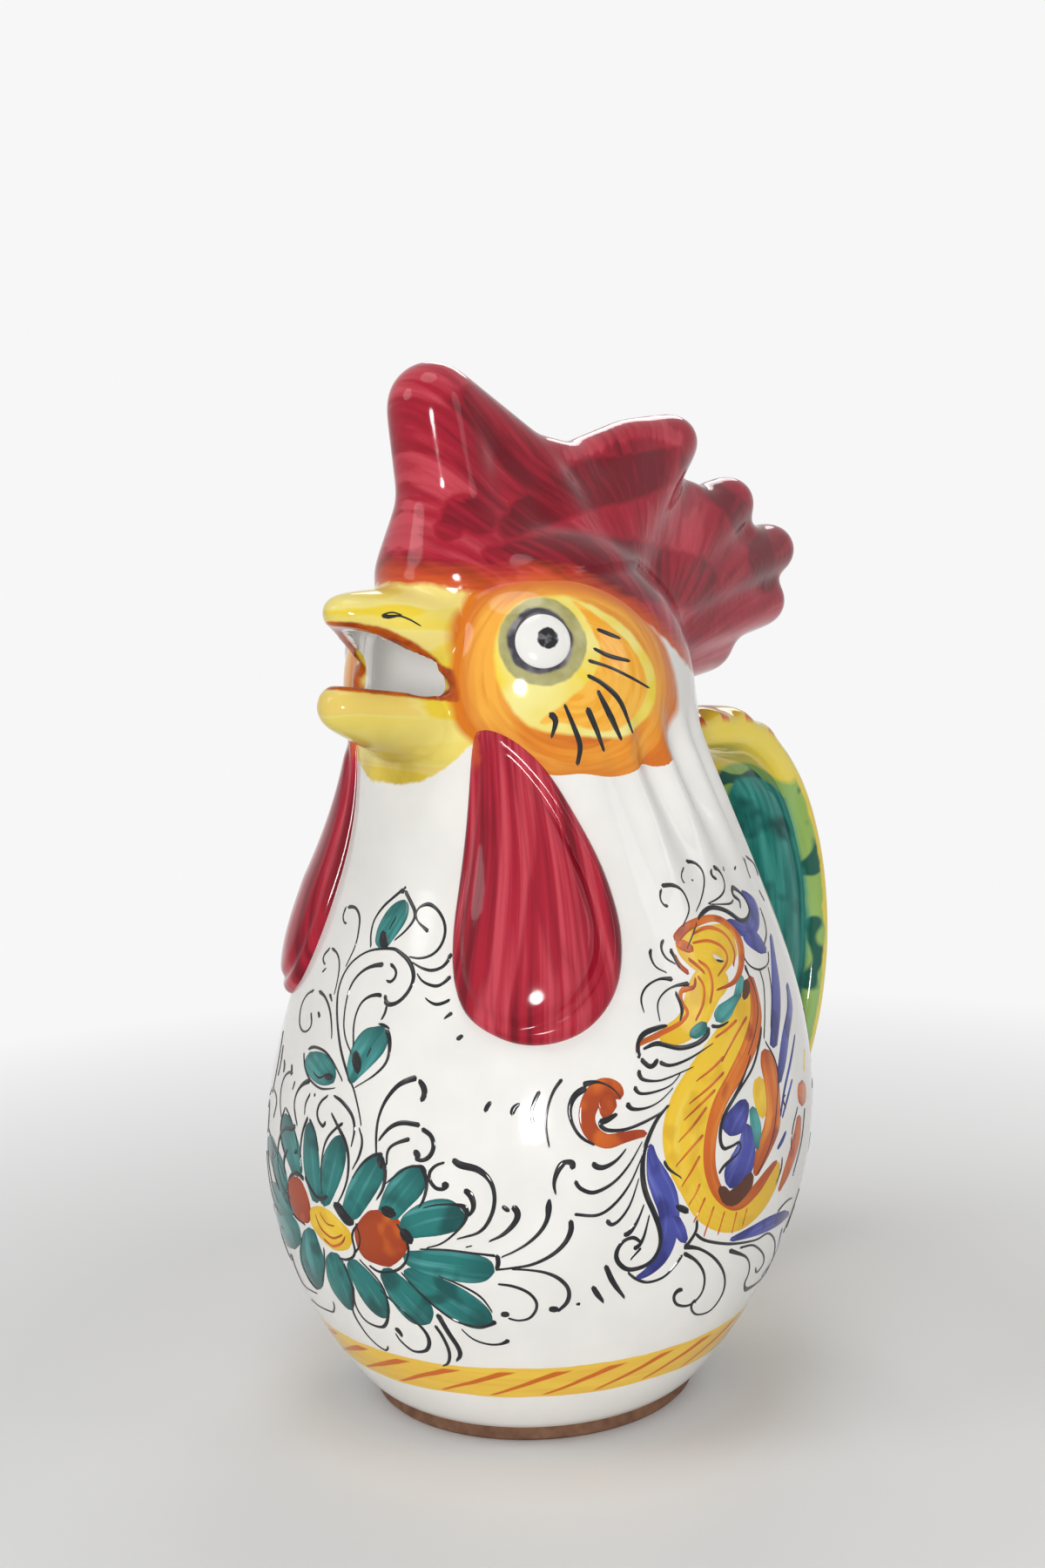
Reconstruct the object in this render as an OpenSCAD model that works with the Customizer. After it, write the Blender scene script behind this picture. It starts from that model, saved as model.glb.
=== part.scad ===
// Rooster pitcher of glazed earthenware, poured through its open beak.
// The beak points along -Y, the handle along +Y, and the foot stands on z = 0.

/* [Foot] */
// Radius of the unglazed foot ring
foot_r = 47.5; // [42:0.5:50]
// Height of the foot ring
foot_h = 4.6; // [3:0.2:7]
// Width of the foot ring
foot_w = 9; // [6:0.5:14]

/* [Body] */
// Radius of the body where it leaves the foot
base_r = 48.5; // [44:0.5:56]
// Widest radius of the belly
belly_r = 81.2; // [74:0.2:90]
// Height of the widest place
belly_z = 80; // [70:1:92]
// Radius of the neck under the head
neck_r = 50.8; // [46:0.2:56]
// Height where the neck becomes the head
neck_z = 196; // [188:1:204]
// How far the shoulder is set back towards the handle
shoulder_back = 10.4; // [0:0.2:14]
// Height where the set-back is greatest
shoulder_z = 155; // [140:1:170]
// Thickness of the wall
wall = 5; // [4:0.5:7]
// Thickness of the floor
floor_t = 6; // [5:0.5:9]
// Height of the joint between the body and the head
joint_z = 188; // [184:1:192]

/* [Head] */
// Height of the crown under the comb
crown_z = 252; // [248:1:256]
// How far the head is set back
head_back = 4; // [0:0.5:7]

/* [Beak] */
// How far the upper beak reaches in front of the neck
upper_beak_out = 16.7; // [12:0.1:22]
// How far the lower beak reaches in front of the neck
lower_beak_out = 19.9; // [14:0.1:25]
// Half width of the beak at its root
beak_root_w = 21.5; // [19:0.5:22]
// Half width of the beak at its tip
beak_tip_w = 7; // [5:0.5:9]
// Height of the top of the upper beak at its tip
beak_tip_top_z = 237.5; // [235:0.5:239]
// Height of the underside of the lower beak at its root
jaw_z = 187; // [185:0.5:190]
// Height of the underside of the lower beak at its tip
chin_z = 200; // [197:0.5:203]
// How far the corners of the mouth lie behind the front of the neck
mouth_corner_in = 9.8; // [7:0.2:11]
// Height of the corners of the mouth
mouth_corner_z = 211; // [209:0.5:213]
// Height of the opening at the corners of the mouth
mouth_corner_gap = 5.4; // [4.5:0.2:8]
// Height of the edge of the upper beak at its tip
upper_lip_z = 228.5; // [226:0.5:231]
// Height of the edge of the lower beak at its tip
lower_lip_z = 213.6; // [211:0.2:216]
// Thickness of the beak
beak_wall = 4; // [3:0.5:5]

/* [Comb] */
// How far the comb rises over the crown
comb_rise = 48; // [42:1:56]
// How far the last point of the comb reaches behind the axis
comb_reach = 127; // [118:1:132]
// Half thickness of the comb at its front
comb_front_t = 13; // [10:0.5:15]
// Half thickness of the comb at its rear points
comb_rear_t = 6; // [4.5:0.5:8]
// Height of the edge of the comb over the brow and the beak
seam_front_z = 238.5; // [237:0.5:240]
// Height of the edge of the comb at the nape
seam_back_z = 201; // [198:0.5:206]

/* [Wattles] */
// Height of the top of a wattle
wattle_top_z = 199.5; // [197:0.5:201]
// Height of the bottom of a wattle
wattle_bottom_z = 118.5; // [112:0.5:126]
// Half width of a wattle as an angle round the neck
wattle_half_deg = 19.5; // [16:0.5:22]
// How far a wattle stands out
wattle_bulge = 8; // [5:0.5:11]

/* [Cheeks and eyes] */
// How far a cheek stands out
cheek_bulge = 1.8; // [1.2:0.2:3]
// Angle of the eye from the beak
eye_deg = 53; // [48:1:58]
// Height of the eye
eye_z = 223; // [219:0.5:226]
// Radius of the eye
eye_r = 8.4; // [6.5:0.2:10]
// How far the eye stands out of the cheek
eye_bulge = 1.4; // [0.8:0.2:2.4]

/* [Handle] */
// How far the handle reaches behind the axis
handle_reach = 133.5; // [126:0.5:140]
// Width of the handle strap
handle_w = 32; // [26:1:38]
// Thickness of the handle strap
handle_t = 12; // [9:0.5:14]
// Height of the top of the handle
handle_top_z = 194; // [190:0.5:197]
// Height of the lower root of the handle on the belly
handle_root_z = 48; // [42:1:60]

/* [Hidden] */

// Clearance between a modelled piece and the wall that it is luted to
seat_gap = 0.3;
// Overrun of every cut
overrun = 1;
// Steps round the shells, up the shells and round a rounded lump
around = 64;
rings_up = 14;
lump_fn = 18;
// Steps along the swept cuts and the beaks
beak_steps = 8;
// Fullness of the lower belly and of the shoulder, as powers of their curves
belly_power = 0.8;
shoulder_power = 1.52;
// Height over which the set-back of the shoulder fades into the head
fade_h = 60;
// Fullness of the crown, as a power of its curve
dome_power = 3;
// How much closer together the rings of a shell lie near its foot, as a power
ring_ease = 1.25;
// Smallest radius of the closed crown
pole_r = 2.5;

glaze_white = [0.93, 0.92, 0.88];
glaze_yellow = [0.93, 0.76, 0.16];
glaze_orange = [0.90, 0.50, 0.10];
glaze_red = [0.62, 0.10, 0.16];
glaze_teal = [0.05, 0.50, 0.42];
bare_clay = [0.55, 0.36, 0.24];

function mix(a, b, t) = a + (b - a) * t;
function clamp01(t) = max(0, min(1, t));

// The outer skin of body and head: radius and set-back at height z
function belly_share(z) = pow(sin(90 * clamp01((z - foot_h) / (belly_z - foot_h))), belly_power);
function shoulder_share(z) = pow(cos(90 * clamp01((z - belly_z) / (neck_z - belly_z))), shoulder_power);
function dome_share(z) = sqrt(max(0, 1 - pow(clamp01((z - neck_z) / (crown_z - neck_z)), dome_power)));
function skin_r(z) = z < belly_z ? mix(base_r, belly_r, belly_share(z))
    : z < neck_z ? mix(neck_r, belly_r, shoulder_share(z))
    : neck_r * dome_share(z);
function skin_back(z) = z < shoulder_z ? shoulder_back * (1 - cos(180 * z / shoulder_z)) / 2
    : mix(head_back, shoulder_back, (1 + cos(180 * clamp01((z - shoulder_z) / fade_h))) / 2);

// A ring of points of the skin, moved out by off
function skin_ring(z, off) = [for (k = [0 : around - 1])
    let (a = 360 * k / around, r = max(pole_r, skin_r(z) + off))
    [r * sin(a), skin_back(z) - r * cos(a), z]];

// Heights between two levels, closer together near the first one where ease is over 1
function levels(from_z, to_z, n, ease) = [for (i = [0 : n]) mix(from_z, to_z, pow(i / n, ease))];

function reversed(list) = [for (i = [len(list) - 1 : -1 : 0]) list[i]];

// A closed solid through rings of the same number of points
module loft(rings) {
    n = len(rings[0]);
    m = len(rings);
    points = [for (ring = rings) each ring];
    sides = [for (i = [0 : m - 2], k = [0 : n - 1])
        let (a = i * n + k, b = i * n + (k + 1) % n, c = a + n, d = b + n)
        each [[a, c, b], [b, c, d]]];
    first_cap = [for (k = [0 : n - 1]) k];
    last_cap = [for (k = [n - 1 : -1 : 0]) (m - 1) * n + k];
    polyhedron(points, concat(sides, [first_cap], [last_cap]));
}

// A rounded lump with its own half sizes
module lump(at, half) {
    translate(at)
        scale(half)
            sphere(r = 1, $fn = lump_fn);
}

module foot_ring() {
    color(bare_clay)
        difference() {
            cylinder(h = foot_h, r = foot_r, $fn = around);
            translate([0, 0, -overrun])
                cylinder(h = foot_h + 2 * overrun, r = foot_r - foot_w, $fn = around);
        }
}

module body_shell() {
    outer_z = levels(foot_h, joint_z, rings_up, ring_ease);
    inner_z = levels(joint_z, foot_h + floor_t, rings_up, 1);
    color(glaze_white)
        loft(concat([for (z = outer_z) skin_ring(z, 0)], [for (z = inner_z) skin_ring(z, -wall)]));
}

// The head as a solid, moved out by off, from a level under the joint or from the joint itself
crown_lift = [for (i = [0 : rings_up]) sin(90 * i / rings_up)];
module head_solid(bottom_z, off) {
    loft([for (t = crown_lift) [for (p = skin_ring(mix(bottom_z, crown_z, t), off)) p + [0, 0, off * t]]]);
}

module skin_solid(off) {
    loft([for (z = levels(foot_h, joint_z, rings_up, ring_ease)) skin_ring(z, off)]);
    head_solid(joint_z, off);
}

// Full height of the pitcher
top_z = crown_z + comb_rise;
// Reach of the beaks, and of the corners of the mouth, in front of the axis
upper_beak_reach = neck_r + upper_beak_out;
lower_beak_reach = neck_r + lower_beak_out;
mouth_corner_y = neck_r - mouth_corner_in;

// Places along the beak, from its root at 0 to its tip at 1. The upper half is as deep at its root as
// upper_root_share of its half width over the jaw, and the tips are tip_share as long as they are wide.
beak_start_y = mouth_corner_y - beak_wall;
beak_top_z = seam_front_z - seat_gap;
beak_round = 1.5;
upper_root_share = 0.9;
tip_share = 0.8;
function beak_w(t) = mix(beak_root_w, beak_tip_w, pow(t, beak_round));
function upper_at(t) = let (top = mix(beak_top_z, beak_tip_top_z, t),
        low = mix(jaw_z + upper_root_share * beak_root_w, upper_lip_z - beak_wall / 2, t))
    [0, -mix(beak_start_y, upper_beak_reach - beak_tip_w * tip_share, t), (top + low) / 2];
function upper_half(t) = [beak_w(t), beak_tip_w * tip_share,
    mix(beak_top_z, beak_tip_top_z, t) - upper_at(t).z];
function lower_at(t) = let (low = mix(jaw_z, chin_z, t),
        top = mix(mouth_corner_z + beak_wall / 2, lower_lip_z, t))
    [0, -mix(beak_start_y, lower_beak_reach - beak_tip_w * tip_share, t), (top + low) / 2];
function lower_half(t) = [beak_w(t), beak_tip_w * tip_share, lower_at(t).z - mix(jaw_z, chin_z, t)];

module upper_snout(inset) {
    for (i = [0 : beak_steps - 1])
        hull()
            for (t = [i / beak_steps, (i + 1) / beak_steps])
                lump(upper_at(t), [for (h = upper_half(t)) max(pole_r / 2, h - inset)]);
}

module lower_snout(inset) {
    for (i = [0 : beak_steps - 1])
        hull()
            for (t = [i / beak_steps, (i + 1) / beak_steps])
                lump(lower_at(t), [for (h = lower_half(t)) max(pole_r / 2, h - inset)]);
}

// The way through the wall of the head into the beak
module throat() {
    for (i = [0 : beak_steps - 1])
        hull()
            for (t = [i / beak_steps, (i + 1) / beak_steps])
                translate([0, -mix(mouth_corner_y - 3 * wall, mouth_corner_y + beak_wall, t),
                    mix(mouth_corner_z, mouth_corner_z + beak_wall, t)])
                    scale([beak_root_w - 1.4 * beak_wall, beak_wall, mix(4 * beak_wall, 5 * beak_wall, t)])
                        sphere(r = 1, $fn = lump_fn);
}

// The edges of the mouth, from its corners at 0 to the tip of the beak at 1
lip_steps = 6;
function upper_lip(t) = [-mix(mouth_corner_y, upper_beak_reach, t),
    mix(mouth_corner_z + mouth_corner_gap / 2, upper_lip_z, 1 - pow(1 - t, 2))];
function lower_lip(t) = [-mix(mouth_corner_y, lower_beak_reach, t),
    mix(mouth_corner_z - mouth_corner_gap / 2, lower_lip_z, t)];

// A flat outline in Y and Z, carried across the beak
module across(outline) {
    translate([-2 * beak_root_w, 0, 0])
        rotate([90, 0, 90])
            linear_extrude(4 * beak_root_w)
                polygon(outline);
}

// Everything under the edge of the upper beak, and everything over the edge of the lower one
module below_upper_lip() {
    lip = [for (i = [lip_steps : -1 : 0]) upper_lip(i / lip_steps)];
    front_y = -lower_beak_reach - 2 * overrun;
    low_z = joint_z - 4 * wall;
    across(concat([[front_y, lip[0].y]], lip,
        [[0, mouth_corner_z + seat_gap / 2], [0, low_z], [front_y, low_z]]));
}

module above_lower_lip() {
    lip = [for (i = [lip_steps : -1 : 0]) lower_lip(i / lip_steps)];
    front_y = -lower_beak_reach - 2 * overrun;
    across(concat([[front_y, lip[0].y]], lip,
        [[0, mouth_corner_z - seat_gap / 2], [0, top_z], [front_y, top_z]]));
}

module head_shell() {
    outer_z = [for (t = crown_lift) mix(joint_z, crown_z, t)];
    inner_z = [for (t = crown_lift) mix(joint_z, crown_z - wall, t)];
    color(glaze_white)
        difference() {
            loft(concat([for (z = reversed(inner_z)) skin_ring(z, -wall)],
                [for (z = outer_z) skin_ring(z, 0)]));
            throat();
        }
}

module upper_beak() {
    color(glaze_yellow)
        difference() {
            upper_snout(0);
            upper_snout(beak_wall);
            below_upper_lip();
            head_solid(joint_z - 4 * wall, seat_gap);
        }
}

module lower_beak() {
    color(glaze_yellow)
        difference() {
            lower_snout(0);
            lower_snout(beak_wall);
            above_lower_lip();
            head_solid(joint_z - 4 * wall, seat_gap);
        }
}

// The comb: five points that fan out from a broad base over the crown and down the nape.
// It is rooted at comb_root_drop under the crown. Roots have their places and half sizes as shares of the
// radius of the neck and of the comb's height.
comb_root_drop = 24;
comb_root_z = crown_z - comb_root_drop;
comb_h = top_z - comb_root_z;
seam_bend_share = -0.3;
front_root_share = [[0, -0.42, 0.17], [0.47, 0.43, 0.22]];
waist_root_share = [[0, -0.43, 0.46], [0.28, 0.29, 0.14]];
crown_root_share = [[0, 0.06, 0.08], [0.78, 0.79, 0.33]];
mid_root_share = [[0, 0.18, 0.14], [0.66, 0.46, 0.20]];
back_root_share = [[0, 0.40, -0.03], [0.66, 0.44, 0.20]];
nape_root_share = [[0, 0.46, -0.16], [0.62, 0.42, 0.17]];
low_root_share = [[0, 0.50, -0.25], [0.55, 0.40, 0.14]];

// The points, and the webs between them, as shares of the reach behind the axis and of the comb's height
front_point_share = [-0.21, 0.82];
saddle_share = [0.06, 0.60];
valley_share = [0.21, 0.585];
second_start_share = [0.42, 0.70];
second_point_share = [0.55, 0.745];
second_web_share = [0.62, 0.46];
third_point_share = [0.79, 0.47];
third_web_share = [0.79, 0.28];
fourth_point_share = [0.93, 0.26];
fourth_web_share = [0.85, 0.12];
fifth_point_share = [0.89, 0.01];
heel_share = [0.66, -0.15];
// How much thinner a web is than the points beside it
web_thin_share = 0.75;

module comb_root(share) {
    lump([0, share[0].y * neck_r, comb_root_z + share[0].z * comb_h],
        [share[1].x * neck_r, share[1].y * neck_r, share[1].z * comb_h]);
}

module comb_tip(share, half_x, half_r) {
    lump([0, share[0] * comb_reach, comb_root_z + share[1] * comb_h], [half_x, half_r, half_r]);
}

module comb_ray(root_share, tip_share, half_x, half_r) {
    hull() {
        comb_root(root_share);
        comb_tip(tip_share, half_x, half_r);
    }
}

// Everything under the edge of the comb, which falls from the brow to the nape
module below_comb_seam() {
    bend_y = seam_bend_share * neck_r;
    back_y = head_back + neck_r;
    front_y = -2 * neck_r;
    low_z = joint_z - 4 * wall;
    across([[front_y, seam_front_z], [bend_y, seam_front_z], [back_y, seam_back_z], [back_y, low_z],
        [front_y, low_z]]);
}

module comb() {
    thick = comb_front_t;
    thin = comb_rear_t;
    mid = (thick + thin) / 2;
    web = thin * web_thin_share;
    color(glaze_red)
        difference() {
            union() {
                comb_root(crown_root_share);
                hull() {
                    comb_root(front_root_share);
                    comb_root(waist_root_share);
                }
                comb_ray(waist_root_share, front_point_share, thick, thick);
                comb_ray(waist_root_share, saddle_share, mid, mid);
                comb_ray(mid_root_share, saddle_share, mid, mid);
                hull() {
                    comb_tip(front_point_share, thick, thick);
                    comb_tip(saddle_share, mid, mid);
                }
                comb_ray(front_root_share, saddle_share, mid, mid);
                comb_ray(mid_root_share, valley_share, mid, mid);
                hull() {
                    comb_tip(saddle_share, mid, mid);
                    comb_tip(valley_share, mid, mid);
                }
                hull() {
                    comb_tip(valley_share, mid, mid);
                    comb_tip(second_start_share, thin, mid);
                }
                comb_ray(mid_root_share, second_start_share, thin, mid);
                comb_ray(mid_root_share, second_point_share, thin, mid);
                comb_ray(mid_root_share, second_web_share, web, mid);
                comb_ray(back_root_share, second_web_share, web, mid);
                comb_ray(back_root_share, third_point_share, thin, mid);
                comb_ray(back_root_share, third_web_share, web, mid);
                comb_ray(back_root_share, fourth_point_share, thin, mid);
                comb_ray(nape_root_share, fourth_web_share, web, mid);
                comb_ray(nape_root_share, fifth_point_share, thin, mid);
                comb_ray(low_root_share, heel_share, thin, mid);
            }
            below_comb_seam();
            head_solid(joint_z - 4 * wall, seat_gap);
        }
}

// The outlines of wattle and cheek round the left side, as angles from the beak and shares of height
wattle_mid_deg = 43.5;
wattle_mid_share = 0.35;
wattle_outline_share = [[-0.34, 1], [-0.70, 0.93], [-0.98, 0.58], [-1, 0.30], [-0.78, 0.10], [-0.36, 0.015],
    [0.10, 0], [0.55, 0.04], [0.88, 0.15], [1, 0.33], [0.92, 0.52], [0.72, 0.69], [0.42, 0.86], [0, 0.96]];
cheek_mid_deg = 65;
cheek_half_deg = 37.5;
cheek_low_z = joint_z + seat_gap + overrun;
cheek_high_z = seam_front_z - overrun;
cheek_outline_share = [[-0.98, 0.82], [-1, 0.60], [-0.95, 0.40], [-0.87, 0.26], [-0.66, 0.23],
    [-0.42, 0.16], [-0.20, 0.04], [0.10, 0], [0.52, 0], [0.76, 0.03], [0.86, 0.16], [1, 0.30], [1, 0.50], [0.90, 0.64],
    [0.62, 0.77], [0.30, 0.90], [-0.08, 1], [-0.45, 1], [-0.78, 0.94]];

// A point on the skin at angle a and height z, moved out along the surface by off
slope_step = wall;
function skin_point(a, z, off) =
    let (lean = atan((skin_r(z - slope_step) - skin_r(z + slope_step)) / (2 * slope_step)),
        r = skin_r(z) + off * cos(lean))
    [r * sin(a), skin_back(z) - r * cos(a), z + off * sin(lean)];

// A pad on the skin: its edge is edge_t thick, and it swells to full_t in the middle
pad_rings = 5;
module pad(mid, outline, seat, edge_t, full_t) {
    n = len(outline);
    function at(k, s) = mid + (outline[k] - mid) * s;
    function ring(s, t) = [for (k = [0 : n - 1]) let (p = at(k, s)) skin_point(p[0], p[1], seat + t)];
    function swell(s) = edge_t + (full_t - edge_t) * sqrt(max(0, 1 - s * s));
    shares = [for (i = [1 : pad_rings]) sin(90 * i / pad_rings)];
    centre_share = shares[0] / 10;
    all_shares = concat([centre_share], shares);
    loft(concat([for (s = all_shares) ring(s, 0)], [for (s = reversed(all_shares)) ring(s, swell(s))]));
}

module wattle() {
    outline = [for (p = wattle_outline_share)
        [wattle_mid_deg + p[0] * wattle_half_deg, mix(wattle_bottom_z, wattle_top_z, p[1])]];
    mid = [wattle_mid_deg, mix(wattle_bottom_z, wattle_top_z, wattle_mid_share)];
    color(glaze_red)
        pad(mid, cut_corners(outline), seat_gap, wall / 4, wattle_bulge);
}

module cheek() {
    outline = [for (p = cheek_outline_share)
        [cheek_mid_deg + p[0] * cheek_half_deg, mix(cheek_low_z, cheek_high_z, p[1])]];
    mid = [cheek_mid_deg, (cheek_low_z + cheek_high_z) / 2];
    color(glaze_orange)
        pad(mid, cut_corners(outline), seat_gap, cheek_bulge / 3, cheek_bulge);
}

// An outline with each corner cut off, which rounds it
function cut_corners(list) = [for (i = [0 : len(list) - 1])
    let (a = list[i], b = list[(i + 1) % len(list)]) each [mix(a, b, 0.25), mix(a, b, 0.75)]];

module eye() {
    per_deg = PI * skin_r(eye_z) / 180;
    eye_steps = 20;
    outline = [for (k = [0 : eye_steps - 1])
        [eye_deg - eye_r * sin(360 * k / eye_steps) / per_deg, eye_z + eye_r * cos(360 * k / eye_steps)]];
    color(glaze_white)
        pad([eye_deg, eye_z], outline, cheek_bulge + 2 * seat_gap, eye_bulge / 4, eye_bulge);
}

// The line along the middle of the strap, from the nape to the belly, as shares of its reach and height
handle_path_share = [[0.30, 0.97], [0.50, 1], [0.66, 1], [0.76, 0.975], [0.85, 0.915], [0.93, 0.81],
    [0.985, 0.66], [1, 0.49], [0.975, 0.34], [0.925, 0.22], [0.86, 0.12], [0.76, 0.04], [0.62, 0], [0.50, 0]];

module handle_slice(share) {
    half_t = handle_t / 2;
    y = share[0] * (handle_reach - half_t);
    z = mix(handle_root_z, handle_top_z - half_t, share[1]);
    for (side = [-1, 1])
        lump([side * (handle_w / 2 - half_t), y, z], [half_t, half_t, half_t]);
}

module handle() {
    color(glaze_teal)
        difference() {
            union()
                for (i = [0 : len(handle_path_share) - 2])
                    hull() {
                        handle_slice(handle_path_share[i]);
                        handle_slice(handle_path_share[i + 1]);
                    }
            skin_solid(seat_gap);
        }
}

foot_ring();
body_shell();
head_shell();
upper_beak();
lower_beak();
comb();
wattle();  // left_wattle
mirror([1, 0, 0]) wattle();  // right_wattle
cheek();  // left_cheek
mirror([1, 0, 0]) cheek();  // right_cheek
eye();  // left_eye
mirror([1, 0, 0]) eye();  // right_eye
handle();
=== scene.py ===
# %% [markdown]
# # A rooster pitcher of glazed earthenware
# This lesson dresses the CAD model of a pitcher shaped as a rooster. The pitcher is thrown and
# modelled in clay, dipped in white glaze, painted by hand with a brush, and fired once more. The CAD
# model is loaded first and stays as it is. Each piece made here stands for one of its nodes.

# %% Load the CAD model
import math

import bpy
import numpy as np
from mathutils import Matrix, Vector
from mathutils.bvhtree import BVHTree


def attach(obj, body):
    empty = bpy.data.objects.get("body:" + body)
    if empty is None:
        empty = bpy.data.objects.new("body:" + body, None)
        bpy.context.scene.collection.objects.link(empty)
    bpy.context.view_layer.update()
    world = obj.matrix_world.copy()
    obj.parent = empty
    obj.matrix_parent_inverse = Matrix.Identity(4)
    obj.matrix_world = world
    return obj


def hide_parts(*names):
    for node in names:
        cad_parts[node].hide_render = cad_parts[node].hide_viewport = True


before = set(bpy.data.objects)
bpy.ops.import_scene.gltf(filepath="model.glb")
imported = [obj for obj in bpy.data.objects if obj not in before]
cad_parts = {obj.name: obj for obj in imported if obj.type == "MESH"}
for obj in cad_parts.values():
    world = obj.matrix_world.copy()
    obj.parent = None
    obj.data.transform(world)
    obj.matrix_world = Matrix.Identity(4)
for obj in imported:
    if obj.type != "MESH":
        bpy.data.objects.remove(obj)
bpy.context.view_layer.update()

# %% [markdown]
# ## The camera
# The photograph was taken from a little above the belly, 55 cm in front of the pitcher and 46
# degrees to its left side. A real camera was held by hand, so it also rolls by two degrees. The
# numbers come from fitting the outline, the band and the foot. They are in millimetres here, and
# MM turns them into Blender's metres.

# %% Where the camera stood
MM = 0.001
VIEW_AZIMUTH = math.radians(46)
VIEW_PITCH = math.radians(6.62)
VIEW_ROLL = math.radians(2)
VIEW_DISTANCE = 554
VIEW_HEIGHT = 243.5

flat_right = Vector((math.cos(VIEW_AZIMUTH), math.sin(VIEW_AZIMUTH), 0))
view_forward = Vector((
    -math.sin(VIEW_AZIMUTH) * math.cos(VIEW_PITCH),
    math.cos(VIEW_AZIMUTH) * math.cos(VIEW_PITCH),
    -math.sin(VIEW_PITCH)))
flat_up = flat_right.cross(view_forward)
view_right = flat_right * math.cos(VIEW_ROLL) - flat_up * math.sin(VIEW_ROLL)
view_up = flat_up * math.cos(VIEW_ROLL) + flat_right * math.sin(VIEW_ROLL)
view_place = Vector((VIEW_DISTANCE * math.sin(VIEW_AZIMUTH), -VIEW_DISTANCE * math.cos(VIEW_AZIMUTH), VIEW_HEIGHT))
print("camera at", [round(c) for c in view_place])

# %% Camera
PHOTO_SIZE = (1200, 1800)
FOCAL_PIXELS = 2186
CENTRE_SHIFT_PIXELS = 9.4
PIXELS_PER_MM = 4.3
SENSOR = 36

camera_data = bpy.data.cameras.new("camera")
camera_data.sensor_width = SENSOR
camera_data.lens = FOCAL_PIXELS / max(PHOTO_SIZE) * SENSOR
camera_data.shift_x = CENTRE_SHIFT_PIXELS / max(PHOTO_SIZE)
camera = bpy.data.objects.new("camera", camera_data)
turn = Matrix((view_right, view_up, -view_forward)).transposed()
camera.matrix_world = Matrix.Translation(view_place * MM) @ turn.to_4x4()
bpy.context.scene.collection.objects.link(camera)
bpy.context.scene.camera = camera
bpy.context.scene.view_settings.view_transform = "Standard"
print("lens", round(camera_data.lens, 2))

# %% [markdown]
# ## Helpers for working as by hand
# Blender's operators act on what is selected, so every step first clears the selection and picks
# one object. Modifiers are applied at once.


# %% Pick, edit, join and apply
def pick(*objects):
    bpy.ops.object.select_all(action="DESELECT")
    for obj in objects:
        obj.select_set(True)
    bpy.context.view_layer.objects.active = objects[0]


def in_edit_mode(obj, *steps):
    """Runs operators on the whole of an object in edit mode."""
    pick(obj)
    bpy.ops.object.mode_set(mode="EDIT")
    bpy.ops.mesh.select_all(action="SELECT")
    for step in steps:
        step()
    bpy.ops.object.mode_set(mode="OBJECT")
    return obj


def facing_out(obj):
    return in_edit_mode(obj, lambda: bpy.ops.mesh.normals_make_consistent(inside=False))


def named(name):
    """Gives the active object its name."""
    obj = bpy.context.object
    obj.name = obj.data.name = name
    return obj


def joined(name, objects):
    pick(*objects)
    bpy.ops.object.join()
    return named(name)


def copied(obj, name):
    pick(obj)
    bpy.ops.object.duplicate()
    return named(name)


def applied(obj, kind, **settings):
    """Adds a modifier and applies it."""
    pick(obj)
    modifier = obj.modifiers.new(kind.lower(), kind)
    for key, value in settings.items():
        setattr(modifier, key, value)
    bpy.ops.object.modifier_apply(modifier=modifier.name)
    return obj


bpy.ops.object.select_all(action="DESELECT")
print("selected", len(bpy.context.selected_objects))

# %% [markdown]
# ## Points in millimetres
# Shapes are worked out in millimetres with numpy and written back in metres. A number stored on
# each vertex, an attribute, later tells a finish where its colours lie.


# %% Draw, read, move and mark points
def drawn(name, points, edges, faces):
    """A new object from points, with the edges or the faces between them."""
    mesh = bpy.data.meshes.new(name)
    mesh.from_pydata((np.array(points, float) * MM).tolist(), edges, faces)
    obj = bpy.data.objects.new(name, mesh)
    bpy.context.scene.collection.objects.link(obj)
    return obj


def points_of(obj):
    points = np.empty(len(obj.data.vertices) * 3)
    obj.data.vertices.foreach_get("co", points)
    return points.reshape(-1, 3) / MM


def set_points(obj, points):
    obj.data.vertices.foreach_set("co", (points * MM).ravel())
    obj.data.update()


def store(obj, name, values):
    """Stores a number, or three of them, on each vertex."""
    kind, field = ("FLOAT", "value") if np.ndim(values) == 1 else ("FLOAT_VECTOR", "vector")
    attribute = obj.data.attributes.get(name) or obj.data.attributes.new(name, kind, "POINT")
    attribute.data.foreach_set(field, np.ascontiguousarray(values, np.float32).ravel())


def report(obj):
    print(obj.name, len(obj.data.vertices), "vertices")

# %% [markdown]
# ## The skin of the pitcher
# Body and head share one smooth skin: an egg that narrows to the neck, leans back a little, and
# closes in a dome under the comb. It is a formula of the height, the same one that the CAD model
# uses. Everything that lies on the pitcher, such as a wattle or a brush stroke, is placed by its
# angle from the beak, its height, and how far it stands out of this skin.

# %% Skin formula
FOOT_H, BASE_R, BELLY_R, BELLY_Z = 4.6, 48.5, 81.2, 80
NECK_R, NECK_Z, CROWN_Z = 50.8, 196, 252
SHOULDER_BACK, SHOULDER_Z, HEAD_BACK, FADE_H = 10.4, 155, 4, 60
BELLY_POWER, SHOULDER_POWER = 0.8, 1.52


def share_of(value, low, high):
    """How far a value is on its way from low to high, from 0 to 1."""
    return np.clip((value - low) / (high - low), 0, 1)


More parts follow.
